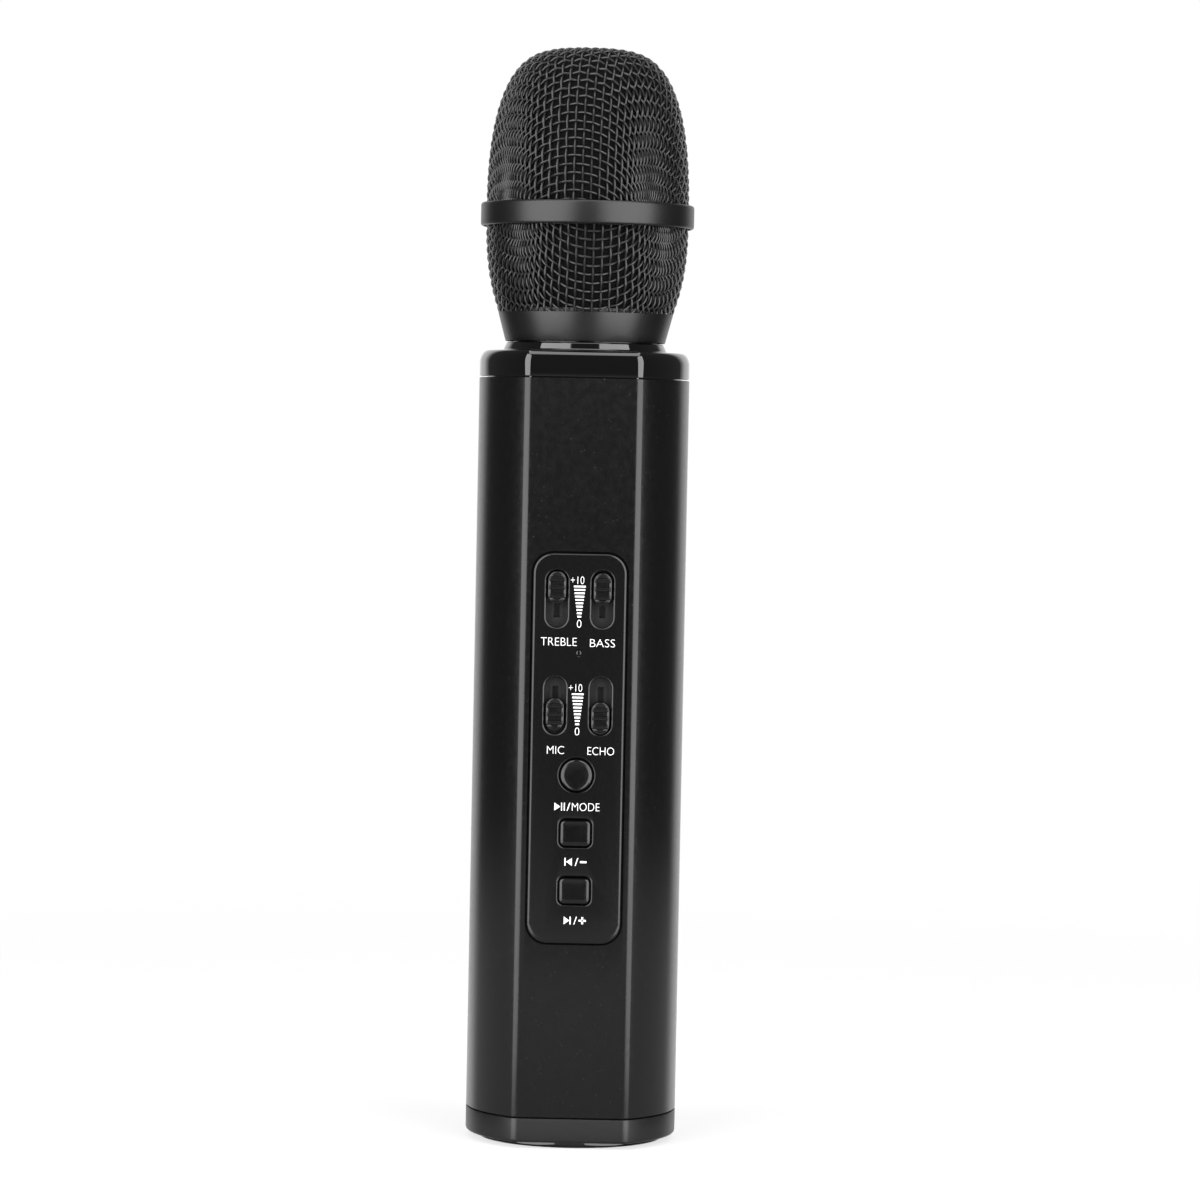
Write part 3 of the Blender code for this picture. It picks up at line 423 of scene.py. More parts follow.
# ---------------------------------------------------------------- grille ring and collar
# Two turned steel rings, stove-enamelled satin black. The band clasps the rims of the
# two wire shells. The collar holds the basket's foot on its inner lip, and screws on.

ring_low, ring_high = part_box("grille_ring")
collar_low, collar_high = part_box("grille_collar")
HEAD_RADIUS = 26.1 * MM
ring_profile = [(25.3, 0.0), (25.35, 0.9), (26.6, 0.9), (26.65, 0.0), (26.85, 0.0)]
ring_profile += [(27.12, 0.12), (27.32, 0.36), (27.4, 0.7), (27.4, 5.3), (27.32, 5.64)]
ring_profile += [(27.12, 5.88), (26.85, 6.0), (26.65, 6.0), (26.6, 5.1), (25.35, 5.1)]
ring_profile += [(25.3, 6.0), (25.2, 6.0), (25.2, 0.0)]
band = turned(bmesh.new(), in_mm(ring_profile, ring_low.z), 128)

collar_profile = [(19.6, 0.0), (20.3, 0.0), (20.47, 0.06), (20.55, 0.22), (22.42, 7.2)]
collar_profile += [(22.44, 7.38), (22.35, 7.48), (22.2, 7.5), (20.6, 7.5), (20.6, 8.45)]
collar_profile += [(20.4, 8.5), (19.8, 8.5), (19.6, 8.4)]
foot = turned(bmesh.new(), in_mm(collar_profile, collar_low.z), 128)

# Stoved enamel on steel: smooth and satin, with a faint mottle where it has flowed.
ring_paint = new_material("satin_black_enamel_on_steel", "#060607", 0.34)
grain(ring_paint, 0.5 * MM, 0.004 * MM, gloss=0.03)
piece("satin_band", band, ring_paint, "grille_head", "grille_ring", slot="ring_metal")
piece("satin_collar", foot, ring_paint, "grille_head", "grille_collar", slot="collar_metal")

# ---------------------------------------------------------------- woven wire shells
# A disc of plain-woven steel wire, 0.54 mm thick at a pitch of 2.2 mm, is drawn into
# a deep dome, and another into the basket. The cells shear as the cloth is drawn.

PITCH = 2.2 * MM
WIRE_RADIUS = 0.27 * MM
SKIN = 2.25 * WIRE_RADIUS  # from the outside of the cloth in to its middle
CRIMP = 1.2  # how far a wire swings over and under, in wire radii
DOME_RISE = 2.2  # the powers of the dome's outline, where a circle has 2 and 2
DOME_SPREAD = 4.0
BASKET_TAPER = 3.6 * MM
BASKET_CURVE = 2.4
BLANK_DEPTH = 13 * MM  # how far the disc's middle hangs below the foot, till it is trimmed
DOME_TURN = math.radians(-8)
BASKET_TURN = math.radians(4)


def dome_line(radius, low, high, count=400):
    """Radius and height along the dome's side, from its top down: full, and flat on top."""
    turn = np.linspace(0.0, math.pi / 2, count)
    height = np.sin(turn) ** (2 / DOME_RISE)
    across = radius * np.clip(1 - height**DOME_RISE, 0, 1) ** (1 / DOME_SPREAD)
    return np.stack([across, low + (high - low) * height], 1)[::-1]


def basket_line(count=240):
    """Radius and height along the basket, up from the middle of the disc it was drawn from."""
    foot, rim = collar_high.z, ring_low.z
    share = np.linspace(0.0, 1.0, count)
    across = HEAD_RADIUS - SKIN - BASKET_TAPER * (1 - share) ** BASKET_CURVE
    side = np.stack([across, foot + (rim + MM - foot) * share], 1)
    turn = np.linspace(0.0, math.pi / 2, count, endpoint=False)
    across = side[0, 0] * np.sin(turn)
    return np.concatenate([np.stack([across, foot - BLANK_DEPTH * np.cos(turn)], 1), side])


def drape(line, cells):
    """Lays a square net on a turned surface from its pole, without stretching its threads.
    Returns the points of one quarter, and the way out of the surface at each."""
    steps = np.linalg.norm(np.diff(line, axis=0), axis=1)
    run = np.concatenate([[0.0], np.cumsum(steps)])

    def at(place):
        s, turn = place
        radius = np.interp(s, run, line[:, 0])
        height = np.interp(s, run, line[:, 1])
        if s > run[-1]:
            height += (s - run[-1]) * np.sign(line[-1, 1] - line[0, 1])
        return np.array([radius * math.sin(turn), -radius * math.cos(turn), height])

    places = {}
    for i in range(cells + 1):
        places[i, 0] = np.array([i * PITCH, math.pi / 2])
        places[0, i] = np.array([i * PITCH, 0.0])
    for total in range(2, 2 * cells + 1):
        for i in range(max(1, total - cells), min(cells, total - 1) + 1):
            j = total - i
            one, two, back = places[i - 1, j], places[i, j - 1], places[i - 1, j - 1]
            if one is None or two is None or max(one[0], two[0]) > run[-1] + PITCH:
                places[i, j] = None
                continue
            ends = at(one), at(two)
            x, y, z = ends[0] + ends[1] - at(back)
            near = np.argmin(np.hypot(line[:, 0] - math.hypot(x, y), line[:, 1] - z))
            guess = np.array([run[near], math.atan2(x, -y)])
            for _ in range(30):
                here = at(guess)
                miss = np.array([np.linalg.norm(here - end) - PITCH for end in ends])
                if np.abs(miss).max() < 1e-9:
                    break
                slope = np.zeros((2, 2))
                for k, nudge in enumerate((1e-6, 1e-5)):
                    moved = guess.copy()
                    moved[k] += nudge
                    there = at(moved)
                    slope[:, k] = [np.linalg.norm(there - end) - PITCH for end in ends]
                    slope[:, k] = (slope[:, k] - miss) / nudge
                move = np.linalg.lstsq(slope, miss, rcond=None)[0]
                guess = guess - move.clip([-MM, -0.1], [MM, 0.1])
            else:
                guess = back
            places[i, j] = guess if guess[0] > back[0] + 0.5 * MM else None
    for key in [key for key, place in places.items() if place is None]:
        del places[key]
    points = {key: at(place) for key, place in places.items()}
    side = np.sign(line[0, 1] - line[-1, 1])
    ways = {}
    for key, (s, turn) in places.items():
        rise = at((s + 0.1 * MM, turn)) - at((max(s - 0.1 * MM, 0.0), turn))
        flat = rise[0] * math.sin(turn) - rise[1] * math.cos(turn)
        way = np.array([-rise[2] * math.sin(turn), rise[2] * math.cos(turn), flat]) * side
        ways[key] = way / np.linalg.norm(way)
    return points, ways


def mesh_of(curve):
    """The mesh that a curve or a text makes, in place of it."""
    blank = bpy.data.objects.new("blank", curve)
    scene.collection.objects.link(blank)
    made = bmesh.new()
    graph = bpy.context.evaluated_depsgraph_get()
    made.from_mesh(bpy.data.meshes.new_from_object(blank.evaluated_get(graph)))
    bpy.data.curves.remove(curve)
    return made


def woven_shell(line, cells):
    """Plain-woven wires laid on a draped net, as one mesh. Each is a smooth curve through
    its crossings, over one wire and under the next."""
    points, ways = drape(line, cells)
    cloth = bpy.data.curves.new("cloth", "CURVE")
    cloth.dimensions = "3D"
    cloth.bevel_depth = WIRE_RADIUS
    cloth.bevel_resolution = 1
    cloth.use_fill_caps = True
    between = np.linspace(0.0, 1.0, 4, endpoint=False)
    for across in range(2):
        for fixed in range(-cells, cells + 1):
            run = []
            for moving in range(-cells, cells + 1):
                i, j = (moving, fixed) if across else (fixed, moving)
                key = abs(i), abs(j)
                if key not in points:
                    continue
                flip = np.array([-1.0 if i < 0 else 1.0, -1.0 if j < 0 else 1.0, 1.0])
                over = 1.0 if (i + j + across) % 2 else -1.0
                run.append((points[key] * flip, ways[key] * flip * over))
            if len(run) < 3:
                continue
            place, way = (np.array(part) for part in zip(*run))
            before, after = place[:-1], place[1:]
            lead = np.concatenate([before[:1], before[:-1]])
            trail = np.concatenate([after[1:], after[-1:]])
            path = []
            for share in between:
                smooth = before * 2 + (after - lead) * share
                smooth += (2 * lead - 5 * before + 4 * after - trail) * share**2
                smooth += (3 * before - lead - 3 * after + trail) * share**3
                wave = way[:-1] * max(0.0, math.cos(math.pi * share))
                wave = wave + way[1:] * max(0.0, -math.cos(math.pi * share))
                path.append(smooth / 2 + wave * WIRE_RADIUS * CRIMP)
            path = np.stack(path, 1).reshape(-1, 3)
            spline = cloth.splines.new("POLY")
            spline.points.add(len(path) - 1)
            spline.points.foreach_set("co", np.insert(path, 3, 1.0, axis=1).ravel())
    shell = mesh_of(cloth)
    bmesh.ops.remove_doubles(shell, verts=shell.verts, dist=1e-7)
    return shell


def trim(mesh, height, above):
    """Takes away what is above, or below, a height, and closes the ends that it leaves."""
    parts = list(mesh.verts) + list(mesh.edges) + list(mesh.faces)
    made = bmesh.ops.bisect_plane(
        mesh,
        geom=parts,
        plane_co=(0, 0, height),
        plane_no=(0, 0, 1),
        clear_outer=above,
        clear_inner=not above,
    )
    rims = [e for e in made["geom_cut"] if isinstance(e, bmesh.types.BMEdge)]
    bmesh.ops.edgeloop_fill(mesh, edges=rims)


dome_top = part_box("upper_grille_mesh")[1].z - SKIN
dome = woven_shell(dome_line(HEAD_RADIUS - SKIN, ring_high.z, dome_top), 27)
bmesh.ops.rotate(dome, matrix=Matrix.Rotation(DOME_TURN, 3, "Z"), verts=dome.verts)
trim(dome, ring_high.z - 0.8 * MM, above=False)
basket = woven_shell(basket_line(), 25)
bmesh.ops.rotate(basket, matrix=Matrix.Rotation(BASKET_TURN, 3, "Z"), verts=basket.verts)
trim(basket, ring_low.z + 0.8 * MM, above=True)
trim(basket, collar_high.z - 0.3 * MM, above=False)

# Stove-enamelled steel wire: black and semi-gloss, thicker and glossier in the hollows.
wire_paint = new_material("black_enamelled_steel_wire", "#1a1a1b", 0.33)
grain(wire_paint, 0.6 * MM, 0.01 * MM, gloss=0.06)
piece("woven_dome", dome, wire_paint, "grille_head", "upper_grille_mesh", slot="wire_mesh")
piece("woven_basket", basket, wire_paint, "grille_head", "lower_grille_mesh", slot="wire_mesh")

# ---------------------------------------------------------------- foam liner
# A moulded cup of open-cell polyether foam, 4.5 mm thick, fills the head. It stops
# wind and breath, and springs into place behind the wire without any glue.

foam_low, foam_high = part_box("foam_liner")
COVER = 1.4 * MM
FOAM_WALL = 4.5 * MM
PORE = 0.55 * MM
outer = dome_line(HEAD_RADIUS - COVER, ring_high.z, foam_high.z, 60)
basket_side = [(r - COVER + SKIN, z) for r, z in basket_line(40)[40:] if z > foam_low.z]
outer_line = [tuple(p) for p in outer] + basket_side[::-1]
outer_line.append((outer_line[-1][0], foam_low.z))
inner = dome_line(HEAD_RADIUS - COVER - FOAM_WALL, ring_high.z, foam_high.z - FOAM_WALL, 30)
inner_line = [tuple(p) for p in inner] + [(r - FOAM_WALL, z) for r, z in outer_line[60:]]
foam = turned(bmesh.new(), outer_line + inner_line[::-1], 120, closed=False)
for vert in foam.verts:
    swell = noise.noise(vert.co * 300) * 0.12 * MM + noise.noise(vert.co * 1400) * 0.08 * MM
    vert.co += vert.normal * swell

# Open-cell foam: soft and quite matt, with pores of 0.55 mm whose walls glint a little.
foam_cells = new_material("open_cell_foam", "#0a0a0a", 0.85, Specular_IOR_Level=0.1)
foam_tree = foam_cells.node_tree
place = add_node(foam_tree, "TexCoord")
pores = add_node(foam_tree, "TexVoronoi", {"Vector": place.outputs["Object"], "Scale": 1 / PORE})
hollow = add_node(
    foam_tree, "Bump", {"Height": pores.outputs["Distance"], "Distance": 0.2 * MM}, invert=True
)
foam_tree.links.new(hollow.outputs[0], foam_tree.nodes["Principled BSDF"].inputs["Normal"])
foam_piece = piece("foam_cup", foam, foam_cells, "foam", "foam_liner", slot="foam", sharp=80)

# ---------------------------------------------------------------- neck and capsule
# The head screws on a die-cast neck with a coarse thread of 1.5 mm pitch. Within it a
# nylon post carries the electret capsule in a rubber sleeve that damps handling noise.

neck_low, neck_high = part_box("threaded_neck")
THREAD_PITCH = 1.5 * MM
THREAD_STEPS = 72
THREAD_FOOT = 204.45 * MM
TURNS = 3.75
neck = turned(
    bmesh.new(),
    [
        (14.8 * MM, neck_low.z),
        (16.9 * MM, neck_low.z),
        (16.9 * MM, 204.4 * MM),
        (18.5 * MM, 204.4 * MM),
        (18.5 * MM, neck_high.z - 0.3 * MM),
        (18.2 * MM, neck_high.z),
        (15.1 * MM, neck_high.z),
        (14.8 * MM, neck_high.z - 0.3 * MM),
    ],
)
ridge = bmesh.new()
crest = [(18.3, 0.0), (19.25, 0.5), (19.25, 0.8), (18.3, 1.3)]
verts = [ridge.verts.new((r, 0.0, z)) for r, z in in_mm(crest, THREAD_FOOT)]
section = ridge.faces.new(verts)
bmesh.ops.spin(
    ridge,
    geom=[section, *section.verts, *section.edges],
    cent=(0, 0, 0),
    axis=(0, 0, 1),
    dvec=(0, 0, THREAD_PITCH / THREAD_STEPS),
    angle=2 * math.pi * TURNS,
    steps=int(THREAD_STEPS * TURNS),
)
bmesh.ops.holes_fill(ridge, edges=[e for e in ridge.edges if e.is_boundary])
bmesh.ops.recalc_face_normals(ridge, faces=ridge.faces)


def join(mesh, added):
    """Adds one bmesh to another."""
    data = bpy.data.meshes.new("added")
    added.to_mesh(data)
    added.free()
    mesh.from_mesh(data)
    bpy.data.meshes.remove(data)


join(neck, ridge)

# Die-cast zinc with black nickel: dark, bright and a little streaked by the tumbling.
neck_nickel = new_material("black_nickel_on_zinc", "#3a3a3d", 0.25, metallic=1.0)
grain(neck_nickel, 0.8 * MM, 0.003 * MM, gloss=0.08, shade=0.1)
piece("thread", neck, neck_nickel, BODY, "threaded_neck", slot="neck_metal")


def coat(material, *nodes):
    """Gives CAD nodes whose shape is right a finish of their own."""
    for node in nodes:
        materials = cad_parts[node].data.materials
        materials.clear()
        materials.append(material)


# Glass-filled nylon: dark, dry, and flecked where the short fibres come to the surface.
glass_nylon = new_material("glass_filled_nylon", "#1a1a1b", 0.55)
grain(glass_nylon, 0.5 * MM, 0.01 * MM, stretch=(1, 1, 4), gloss=0.08, shade=0.25)
coat(glass_nylon, "capsule_seat", "chassis", "speaker_baffle")
# Silicone rubber: matt and a little dusty.
silicone = new_material("silicone_rubber", "#1b1b1b", 0.7)
grain(silicone, 0.8 * MM, 0.01 * MM, shade=0.15)
coat(silicone, "capsule_sleeve")
# Drawn aluminium can of the capsule: bright, with fine draw marks up its side.
drawn_aluminium = new_material("drawn_aluminium", "#c9cacb", 0.28, metallic=1.0)
grain(drawn_aluminium, 0.2 * MM, 0.002 * MM, stretch=(1, 1, 12), gloss=0.08)
coat(drawn_aluminium, "microphone_capsule")

# ---------------------------------------------------------------- control panel
# A satin ABS plate snaps into the front window from behind, half a millimetre proud.
# Its lower edge is bevelled widely, and so is the upper edge of each square hole.


def upright(steps, x=0.0, z=0.0, mesh=None):
    """A block of rounded rectangles, back to front: (width, height, corner, y, rise) in mm."""
    mesh = mesh or bmesh.new()
    loops = []
    for width, height, corner, y, rise in steps:
        size = (width * MM, height * MM, corner * MM)
        loops.append(window_loop(mesh, *size, x, y * MM, z + rise * MM))
    return loft(mesh, loops)


PLATE = [(26.0, 101.0, 5.0, -23.2, 0.0), (26.0, 101.0, 5.0, -24.2, 0.0)]
PLATE += [(23.6, 98.6, 5.0, -24.2, 0.0), (23.6, 98.6, 5.0, -26.2, 0.0)]
panel = upright(
    [
        *PLATE,
        (23.3, 98.1, 4.9, -26.43, 0.12),
        (22.9, 97.3, 4.8, -26.56, 0.33),
        (22.5, 96.85, 4.6, -26.6, 0.475),
    ],
    z=PANEL_MIDDLE,
)


SLOPE_RUN = 0.43  # how far out from a hole its top edge has risen by the whole slope, in mm


def hole_steps(width, height, corner, slope=0.0):
    """The sizes of a hole's cutter: its rim is rounded, and its top edge may slope."""
    steps = [(width, height, corner, -20.0, 0.0)]
    for out, y in ((0.0, -26.28), (0.12, -26.46), (0.28, -26.565), (0.58, -26.635)):
        rise = slope * out / SLOPE_RUN
        steps.append((width + 2 * out, height + 2 * out + rise, corner + out, y, rise / 2))
    return steps


SLIDERS = ("treble", "bass", "mic_level", "echo")
BUTTONS = ("play", "previous", "next")
windows = bmesh.new()
slot_places = {}
for name in SLIDERS:
    pot_low, pot_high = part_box(name + "_potentiometer")
    slot_places[name] = x = (pot_low.x + pot_high.x) / 2
    z = (pot_low.z + pot_high.z) / 2
    upright(hole_steps(5.4, 14.5, 2.7), x, z, windows)
button_places = {}
for name in BUTTONS:
    key_low, key_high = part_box(name + "_button")
    button_places[name] = z = (key_low.z + key_high.z) / 2
    if name == "play":
        hole = hole_steps(8.7, 8.7, 4.35)
    else:
        hole = hole_steps(8.2, 7.2, 1.55, 0.55)
    upright(hole, 0.0, z, windows)
light_low, light_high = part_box("status_light_pipe")
LIGHT_HEIGHT = (light_low.z + light_high.z) / 2
hole = [(1.65, 1.65, 0.825, -20.0, 0), (1.65, 1.65, 0.825, -26.4, 0), (2.25, 2.25, 1.125, -26.7, 0)]
upright(hole, 0.0, LIGHT_HEIGHT, windows)
panel = cut(panel, windows)

# Satin ABS, spark-eroded: an even, slightly glossy black with a grain too fine to feel.
panel_abs = new_material("spark_eroded_satin_abs", "#060607", 0.2)
grain(panel_abs, 0.3 * MM, 0.001 * MM, gloss=0.03)
piece("panel_plate", panel, panel_abs, BODY, "control_panel", slot="panel_plastic", sharp=10)

# ---------------------------------------------------------------- slide knobs
# Four slide controls. Each moulded knob has a crowned rim and three finger ribs, and is
# pushed on the steel lever of its slide potentiometer, whose dark top shows in the slot.

# Moulded ABS knob: satin, a little glossier on the rims that fingers rub.
knob_abs = new_material("moulded_knob_abs", "#0a0a0b", 0.2)
grain(knob_abs, 0.8 * MM, 0.0008 * MM, gloss=0.03)
# Phenolic board and black dust shutter on top of the slide potentiometer.
pot_black = new_material("black_phenolic_board", "#0d0c0c", 0.5)
grain(pot_black, 0.5 * MM, 0.01 * MM, gloss=0.05, shade=0.3)
# Tinned steel: bright and slightly uneven, as the dipped tin leaves it.
tinned_steel = new_material("tinned_steel", "#b9b9b6", 0.32, metallic=1.0)
grain(tinned_steel, 1.2 * MM, 0.004 * MM, gloss=0.08)
# Cold-rolled steel strip: drawn along its length, so that its sheen is streaked.
strip_steel = new_material("cold_rolled_steel_strip", "#98989a", 0.35, metallic=1.0)
grain(strip_steel, 0.15 * MM, 0.002 * MM, stretch=(1.0, 12.0, 1.0), gloss=0.06)

RIB_PITCH = 2.15
for name in SLIDERS:
    x = slot_places[name]
    knob_low, knob_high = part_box(name + "_knob")
    rest = (knob_low.z + knob_high.z) / 2
    knob = upright(
        [
            (4.7, 8.3, 2.35, -23.6, 0.0),
            (4.7, 8.3, 2.35, -26.5, 0.0),
            (4.62, 8.2, 2.31, -26.68, 0.01),
            (4.42, 7.9, 2.21, -26.84, 0.05),
            (4.15, 7.45, 2.07, -26.9, 0.12),
            (3.75, 7.0, 1.87, -26.86, 0.14),
            (3.4, 6.6, 1.7, -26.78, 0.14),
        ],
        x,
        rest,
    )
    for row in (-1, 0, 1):
        rib = [(4.0, 1.15, 0.2, -26.5, 0.0), (4.0, 1.15, 0.2, -26.85, 0.0)]
        rib += [(3.95, 0.98, 0.2, -27.08, 0.02), (3.8, 0.72, 0.2, -27.22, 0.05)]
        rib.append((3.6, 0.4, 0.15, -27.29, 0.08))
        join(knob, upright(rib, x, rest + row * RIB_PITCH * MM))
    node, slider = name + "_knob", name + "_slider"
    piece(name + "_slide_knob", knob, knob_abs, slider, node, slot="knob_plastic", sharp=22)
    coat(strip_steel, name + "_lever")
    coat(pot_black, name + "_potentiometer")

# ---------------------------------------------------------------- push buttons
# Three push buttons of gloss ABS float in their holes on silicone plungers over tact
# switches. The round one is dished, and the square ones slope along their lower edge.

# Moulded gloss ABS: nearly a mirror, and a touch softer where it is pressed.
button_abs = new_material("moulded_gloss_abs", "#080808", 0.16)
grain(button_abs, 2.0 * MM, 0.003 * MM, gloss=0.03, detail=1.0)

for name in BUTTONS:
    if name == "play":
        key = [(10.0, 10.0, 5.0, -22.1, 0.0), (10.0, 10.0, 5.0, -22.9, 0.0)]
        rounds = [(8.0, -22.9), (8.0, -26.75), (7.8, -26.95), (7.24, -27.1), (6.8, -27.01)]
        rounds += [(6.0, -26.96), (4.8, -26.9), (3.4, -26.85), (1.8, -26.82), (0.6, -26.815)]
        key += [(across, across, across / 2, y, 0.0) for across, y in rounds]
    else:
        key = [(9.5, 8.5, 2.2, -22.1, 0.0), (9.5, 8.5, 2.2, -22.9, 0.0)]
        key += [(7.5, 6.5, 1.2, -22.9, 0.0), (7.5, 6.5, 1.2, -26.62, 0.0)]
        key += [(7.32, 6.3, 1.14, -26.85, 0.04), (6.72, 5.5, 1.0, -27.05, 0.34)]
        key += [(6.4, 5.1, 0.9, -27.1, 0.38), (6.0, 4.7, 0.8, -27.06, 0.38)]
        key.append((4.0, 2.8, 0.6, -27.02, 0.38))
    cap_mesh = upright(key, 0.0, button_places[name])
    node, button = name + "_button", name + "_key"
    piece(name + "_key_cap", cap_mesh, button_abs, button, node, slot="button_plastic", sharp=22)
    coat(silicone, name + "_plunger")
    coat(tinned_steel, name + "_switch")

# ---------------------------------------------------------------- status light
# A clear acrylic light pipe, heat-staked behind the panel, carries the glow of a chip
# LED to the front. The light is off, so that it shows as a small dark window.

pipe = upright(
    [(1.45, 1.45, 0.725, y, 0.0) for y in (light_high.y / MM, -26.1)]
    + [(1.3, 1.3, 0.65, -26.3, 0.0), (0.8, 0.8, 0.4, -26.4, 0.0)],
    z=LIGHT_HEIGHT,
)
# Smoked acrylic: clear, dark and glossy.
smoked = new_material("smoked_acrylic", "#050506", 0.08, IOR=1.49)
grain(smoked, 1.0 * MM, 0.002 * MM, gloss=0.02)
piece("light_pipe", pipe, smoked, BODY, "status_light_pipe", slot="light_pipe")

# ---------------------------------------------------------------- panel lettering
# The legends are pad-printed in white ink, 0.02 mm thick: words for what each control
# does, a ten-step scale from 0 to +10 between each pair of slides, and play signs.

PRINT = 0.02 * MM
THINNING = -0.016  # the typeface is bolder than the ink, so its outline is drawn in
panel_face = panel_low.y
print_mesh = bmesh.new()


def printed(shape, low, high):
    """Fits a flat bmesh into a box on the panel's face, given by its corners in mm."""
    start = [min(v.co[i] for v in shape.verts) for i in range(3)]
    end = [max(v.co[i] for v in shape.verts) for i in range(3)]
    for vert in shape.verts:
        share = [(vert.co[i] - start[i]) / ((end[i] - start[i]) or 1.0) for i in range(3)]
        across = low[0] + (high[0] - low[0]) * share[0]
        up = low[1] + (high[1] - low[1]) * share[1]
        vert.co = Vector((across * MM, panel_face - PRINT * share[2], up * MM))
    bmesh.ops.remove_doubles(shape, verts=shape.verts, dist=1e-8)
    join(print_mesh, shape)


def word(text, left, right, low, high):
    """Prints a word between two sides and between two heights, in mm."""
    data = bpy.data.curves.new("word", "FONT")
    data.body = text
    data.extrude = 0.1
    data.resolution_u = 4
    data.offset = THINNING
    printed(mesh_of(data), (left, low), (right, high))


def bar(left, right, low, high):
    """Prints a rectangle."""
    shape = bmesh.new()
    bmesh.ops.create_cube(shape, size=1.0)
    printed(shape, (left, low), (right, high))


def arrow(left, right, low, high, point):
    """Prints a triangle that points right at 1 and left at -1."""
    shape = bmesh.new()
    turn = Matrix.Rotation(0.0 if point > 0 else math.pi, 4, "Z")
    bmesh.ops.create_cone(
        shape, cap_ends=True, segments=3, radius1=1.0, radius2=1.0, depth=1.0,
        matrix=turn @ Matrix.Rotation(-math.pi / 2, 4, "Z"),
    )
    printed(shape, (left, low), (right, high))


def slash(left, right, low, high):
    """Prints a leaning stroke."""
    shape = bmesh.new()
    bmesh.ops.create_cube(shape, size=1.0)
    for vert in shape.verts:
        vert.co.x = vert.co.x * 0.4 + vert.co.y
    printed(shape, (left, low), (right, high))


for top in (144.3, 117.1):
    word("+10", -2.35, 1.05, top - 0.95, top + 0.95)
    for step in range(10):
        height = top - 1.6 - 0.845 * step
        half = 1.5 - 0.111 * step
        bar(-half - 0.05, half - 0.05, height - 0.215, height + 0.215)
    word("0", -0.62, 0.52, top - 12.0, top - 10.0)
word("TREBLE", -9.65, -0.55, 127.7, 129.7)
word("BASS", 2.8, 9.1, 127.5, 129.5)
word("MIC", -7.55, -3.25, 100.3, 102.3)
word("ECHO", 2.7, 9.4, 100.2, 102.2)
arrow(-5.42, -3.93, 86.0, 88.0, 1)
bar(-3.72, -3.46, 86.0, 88.0)
bar(-3.02, -2.76, 86.0, 88.0)
slash(-2.3, -1.4, 86.0, 88.0)
word("MODE", -0.98, 6.0, 86.0, 88.0)
bar(-2.62, -2.3, 72.05, 74.05)
arrow(-2.2, -0.71, 72.05, 74.05, -1)
slash(0.0, 0.9, 72.05, 74.05)
bar(1.33, 3.0, 72.8, 73.28)
arrow(-2.5, -1.08, 57.2, 59.2, 1)
bar(-1.03, -0.72, 57.2, 59.2)
slash(-0.05, 0.83, 57.2, 59.2)
bar(1.26, 3.1, 57.96, 58.44)
bar(1.95, 2.42, 57.3, 59.1)

# White pad-printing ink: flat and opaque, with a faintly uneven edge gloss.
white_ink = new_material("white_pad_printing_ink", "#e6e6e6", 0.55)
grain(white_ink, 0.4 * MM, 0.002 * MM, gloss=0.05, shade=0.04)
piece("panel_lettering", print_mesh, white_ink, BODY)

# ---------------------------------------------------------------- rear speaker grille
# The plate that fills the back window is die-cut steel, painted like the tube. It has
# a field of countersunk round holes in front of each of the two loudspeakers.

rounds = [(23.5, 98.5, 5.0, -26.4, 0.0), (23.2, 98.2, 4.9, -26.55, 0.0)]
rounds.append((22.9, 97.9, 4.8, -26.6, 0.0))
grille = upright(PLATE + rounds, z=PANEL_MIDDLE)
pocket = [(20.6, 95.6, 3.5, -20.0, 0.0), (20.6, 95.6, 3.5, -25.4, 0.0)]
grille = cut(grille, upright(pocket, z=PANEL_MIDDLE))
HOLE_PITCH = 4.2
holes = bmesh.new()
SPEAKERS = ("upper", "lower")
for name in SPEAKERS:
    speaker_low, speaker_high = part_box(name + "_speaker_basket")
    for row in range(-2, 3):
        for column in range(5 - abs(row)):
            x = (column - (4 - abs(row)) / 2) * HOLE_PITCH * MM
            z = (speaker_low.z + speaker_high.z) / 2 + row * HOLE_PITCH * math.sqrt(3) / 2 * MM
            steps = [(2.4, 2.4, 1.2, -25.0, 0.0), (2.4, 2.4, 1.2, -26.4, 0.0)]
            steps.append((3.0, 3.0, 1.5, -26.7, 0.0))
            upright(steps, x, z, holes)
grille = cut(grille, holes)
bmesh.ops.scale(grille, vec=(1, -1, 1), verts=grille.verts)
bmesh.ops.reverse_faces(grille, faces=grille.faces)
piece("rear_plate", grille, tube_paint, BODY, "speaker_grille", slot="grille_paint", sharp=14)

# ---------------------------------------------------------------- loudspeakers
# Two full-range drivers, each a pressed steel basket, a paper cone on a rubber
# surround, and a ferrite magnet, are screwed on the baffle behind the plate.

# Paper pulp: dull, fibrous and slightly uneven in tone.
cone_pulp = new_material("black_paper_pulp", "#18181a", 0.8)
grain(cone_pulp, 0.6 * MM, 0.03 * MM, shade=0.3)
# Pressed ferrite: dark grey, with a fine sintered roughness.
ferrite = new_material("sintered_ferrite", "#2c2c2e", 0.6)
grain(ferrite, 0.3 * MM, 0.01 * MM, shade=0.2)
for name in SPEAKERS:
    coat(strip_steel, name + "_speaker_basket")
    coat(cone_pulp, name + "_speaker_cone")
    coat(ferrite, name + "_speaker_magnet")

# ---------------------------------------------------------------- sockets and switch
# A micro socket for the charger and one for audio, a card reader and a slide switch
# stand on the socket board, and open through the base. Their shells are folded steel.

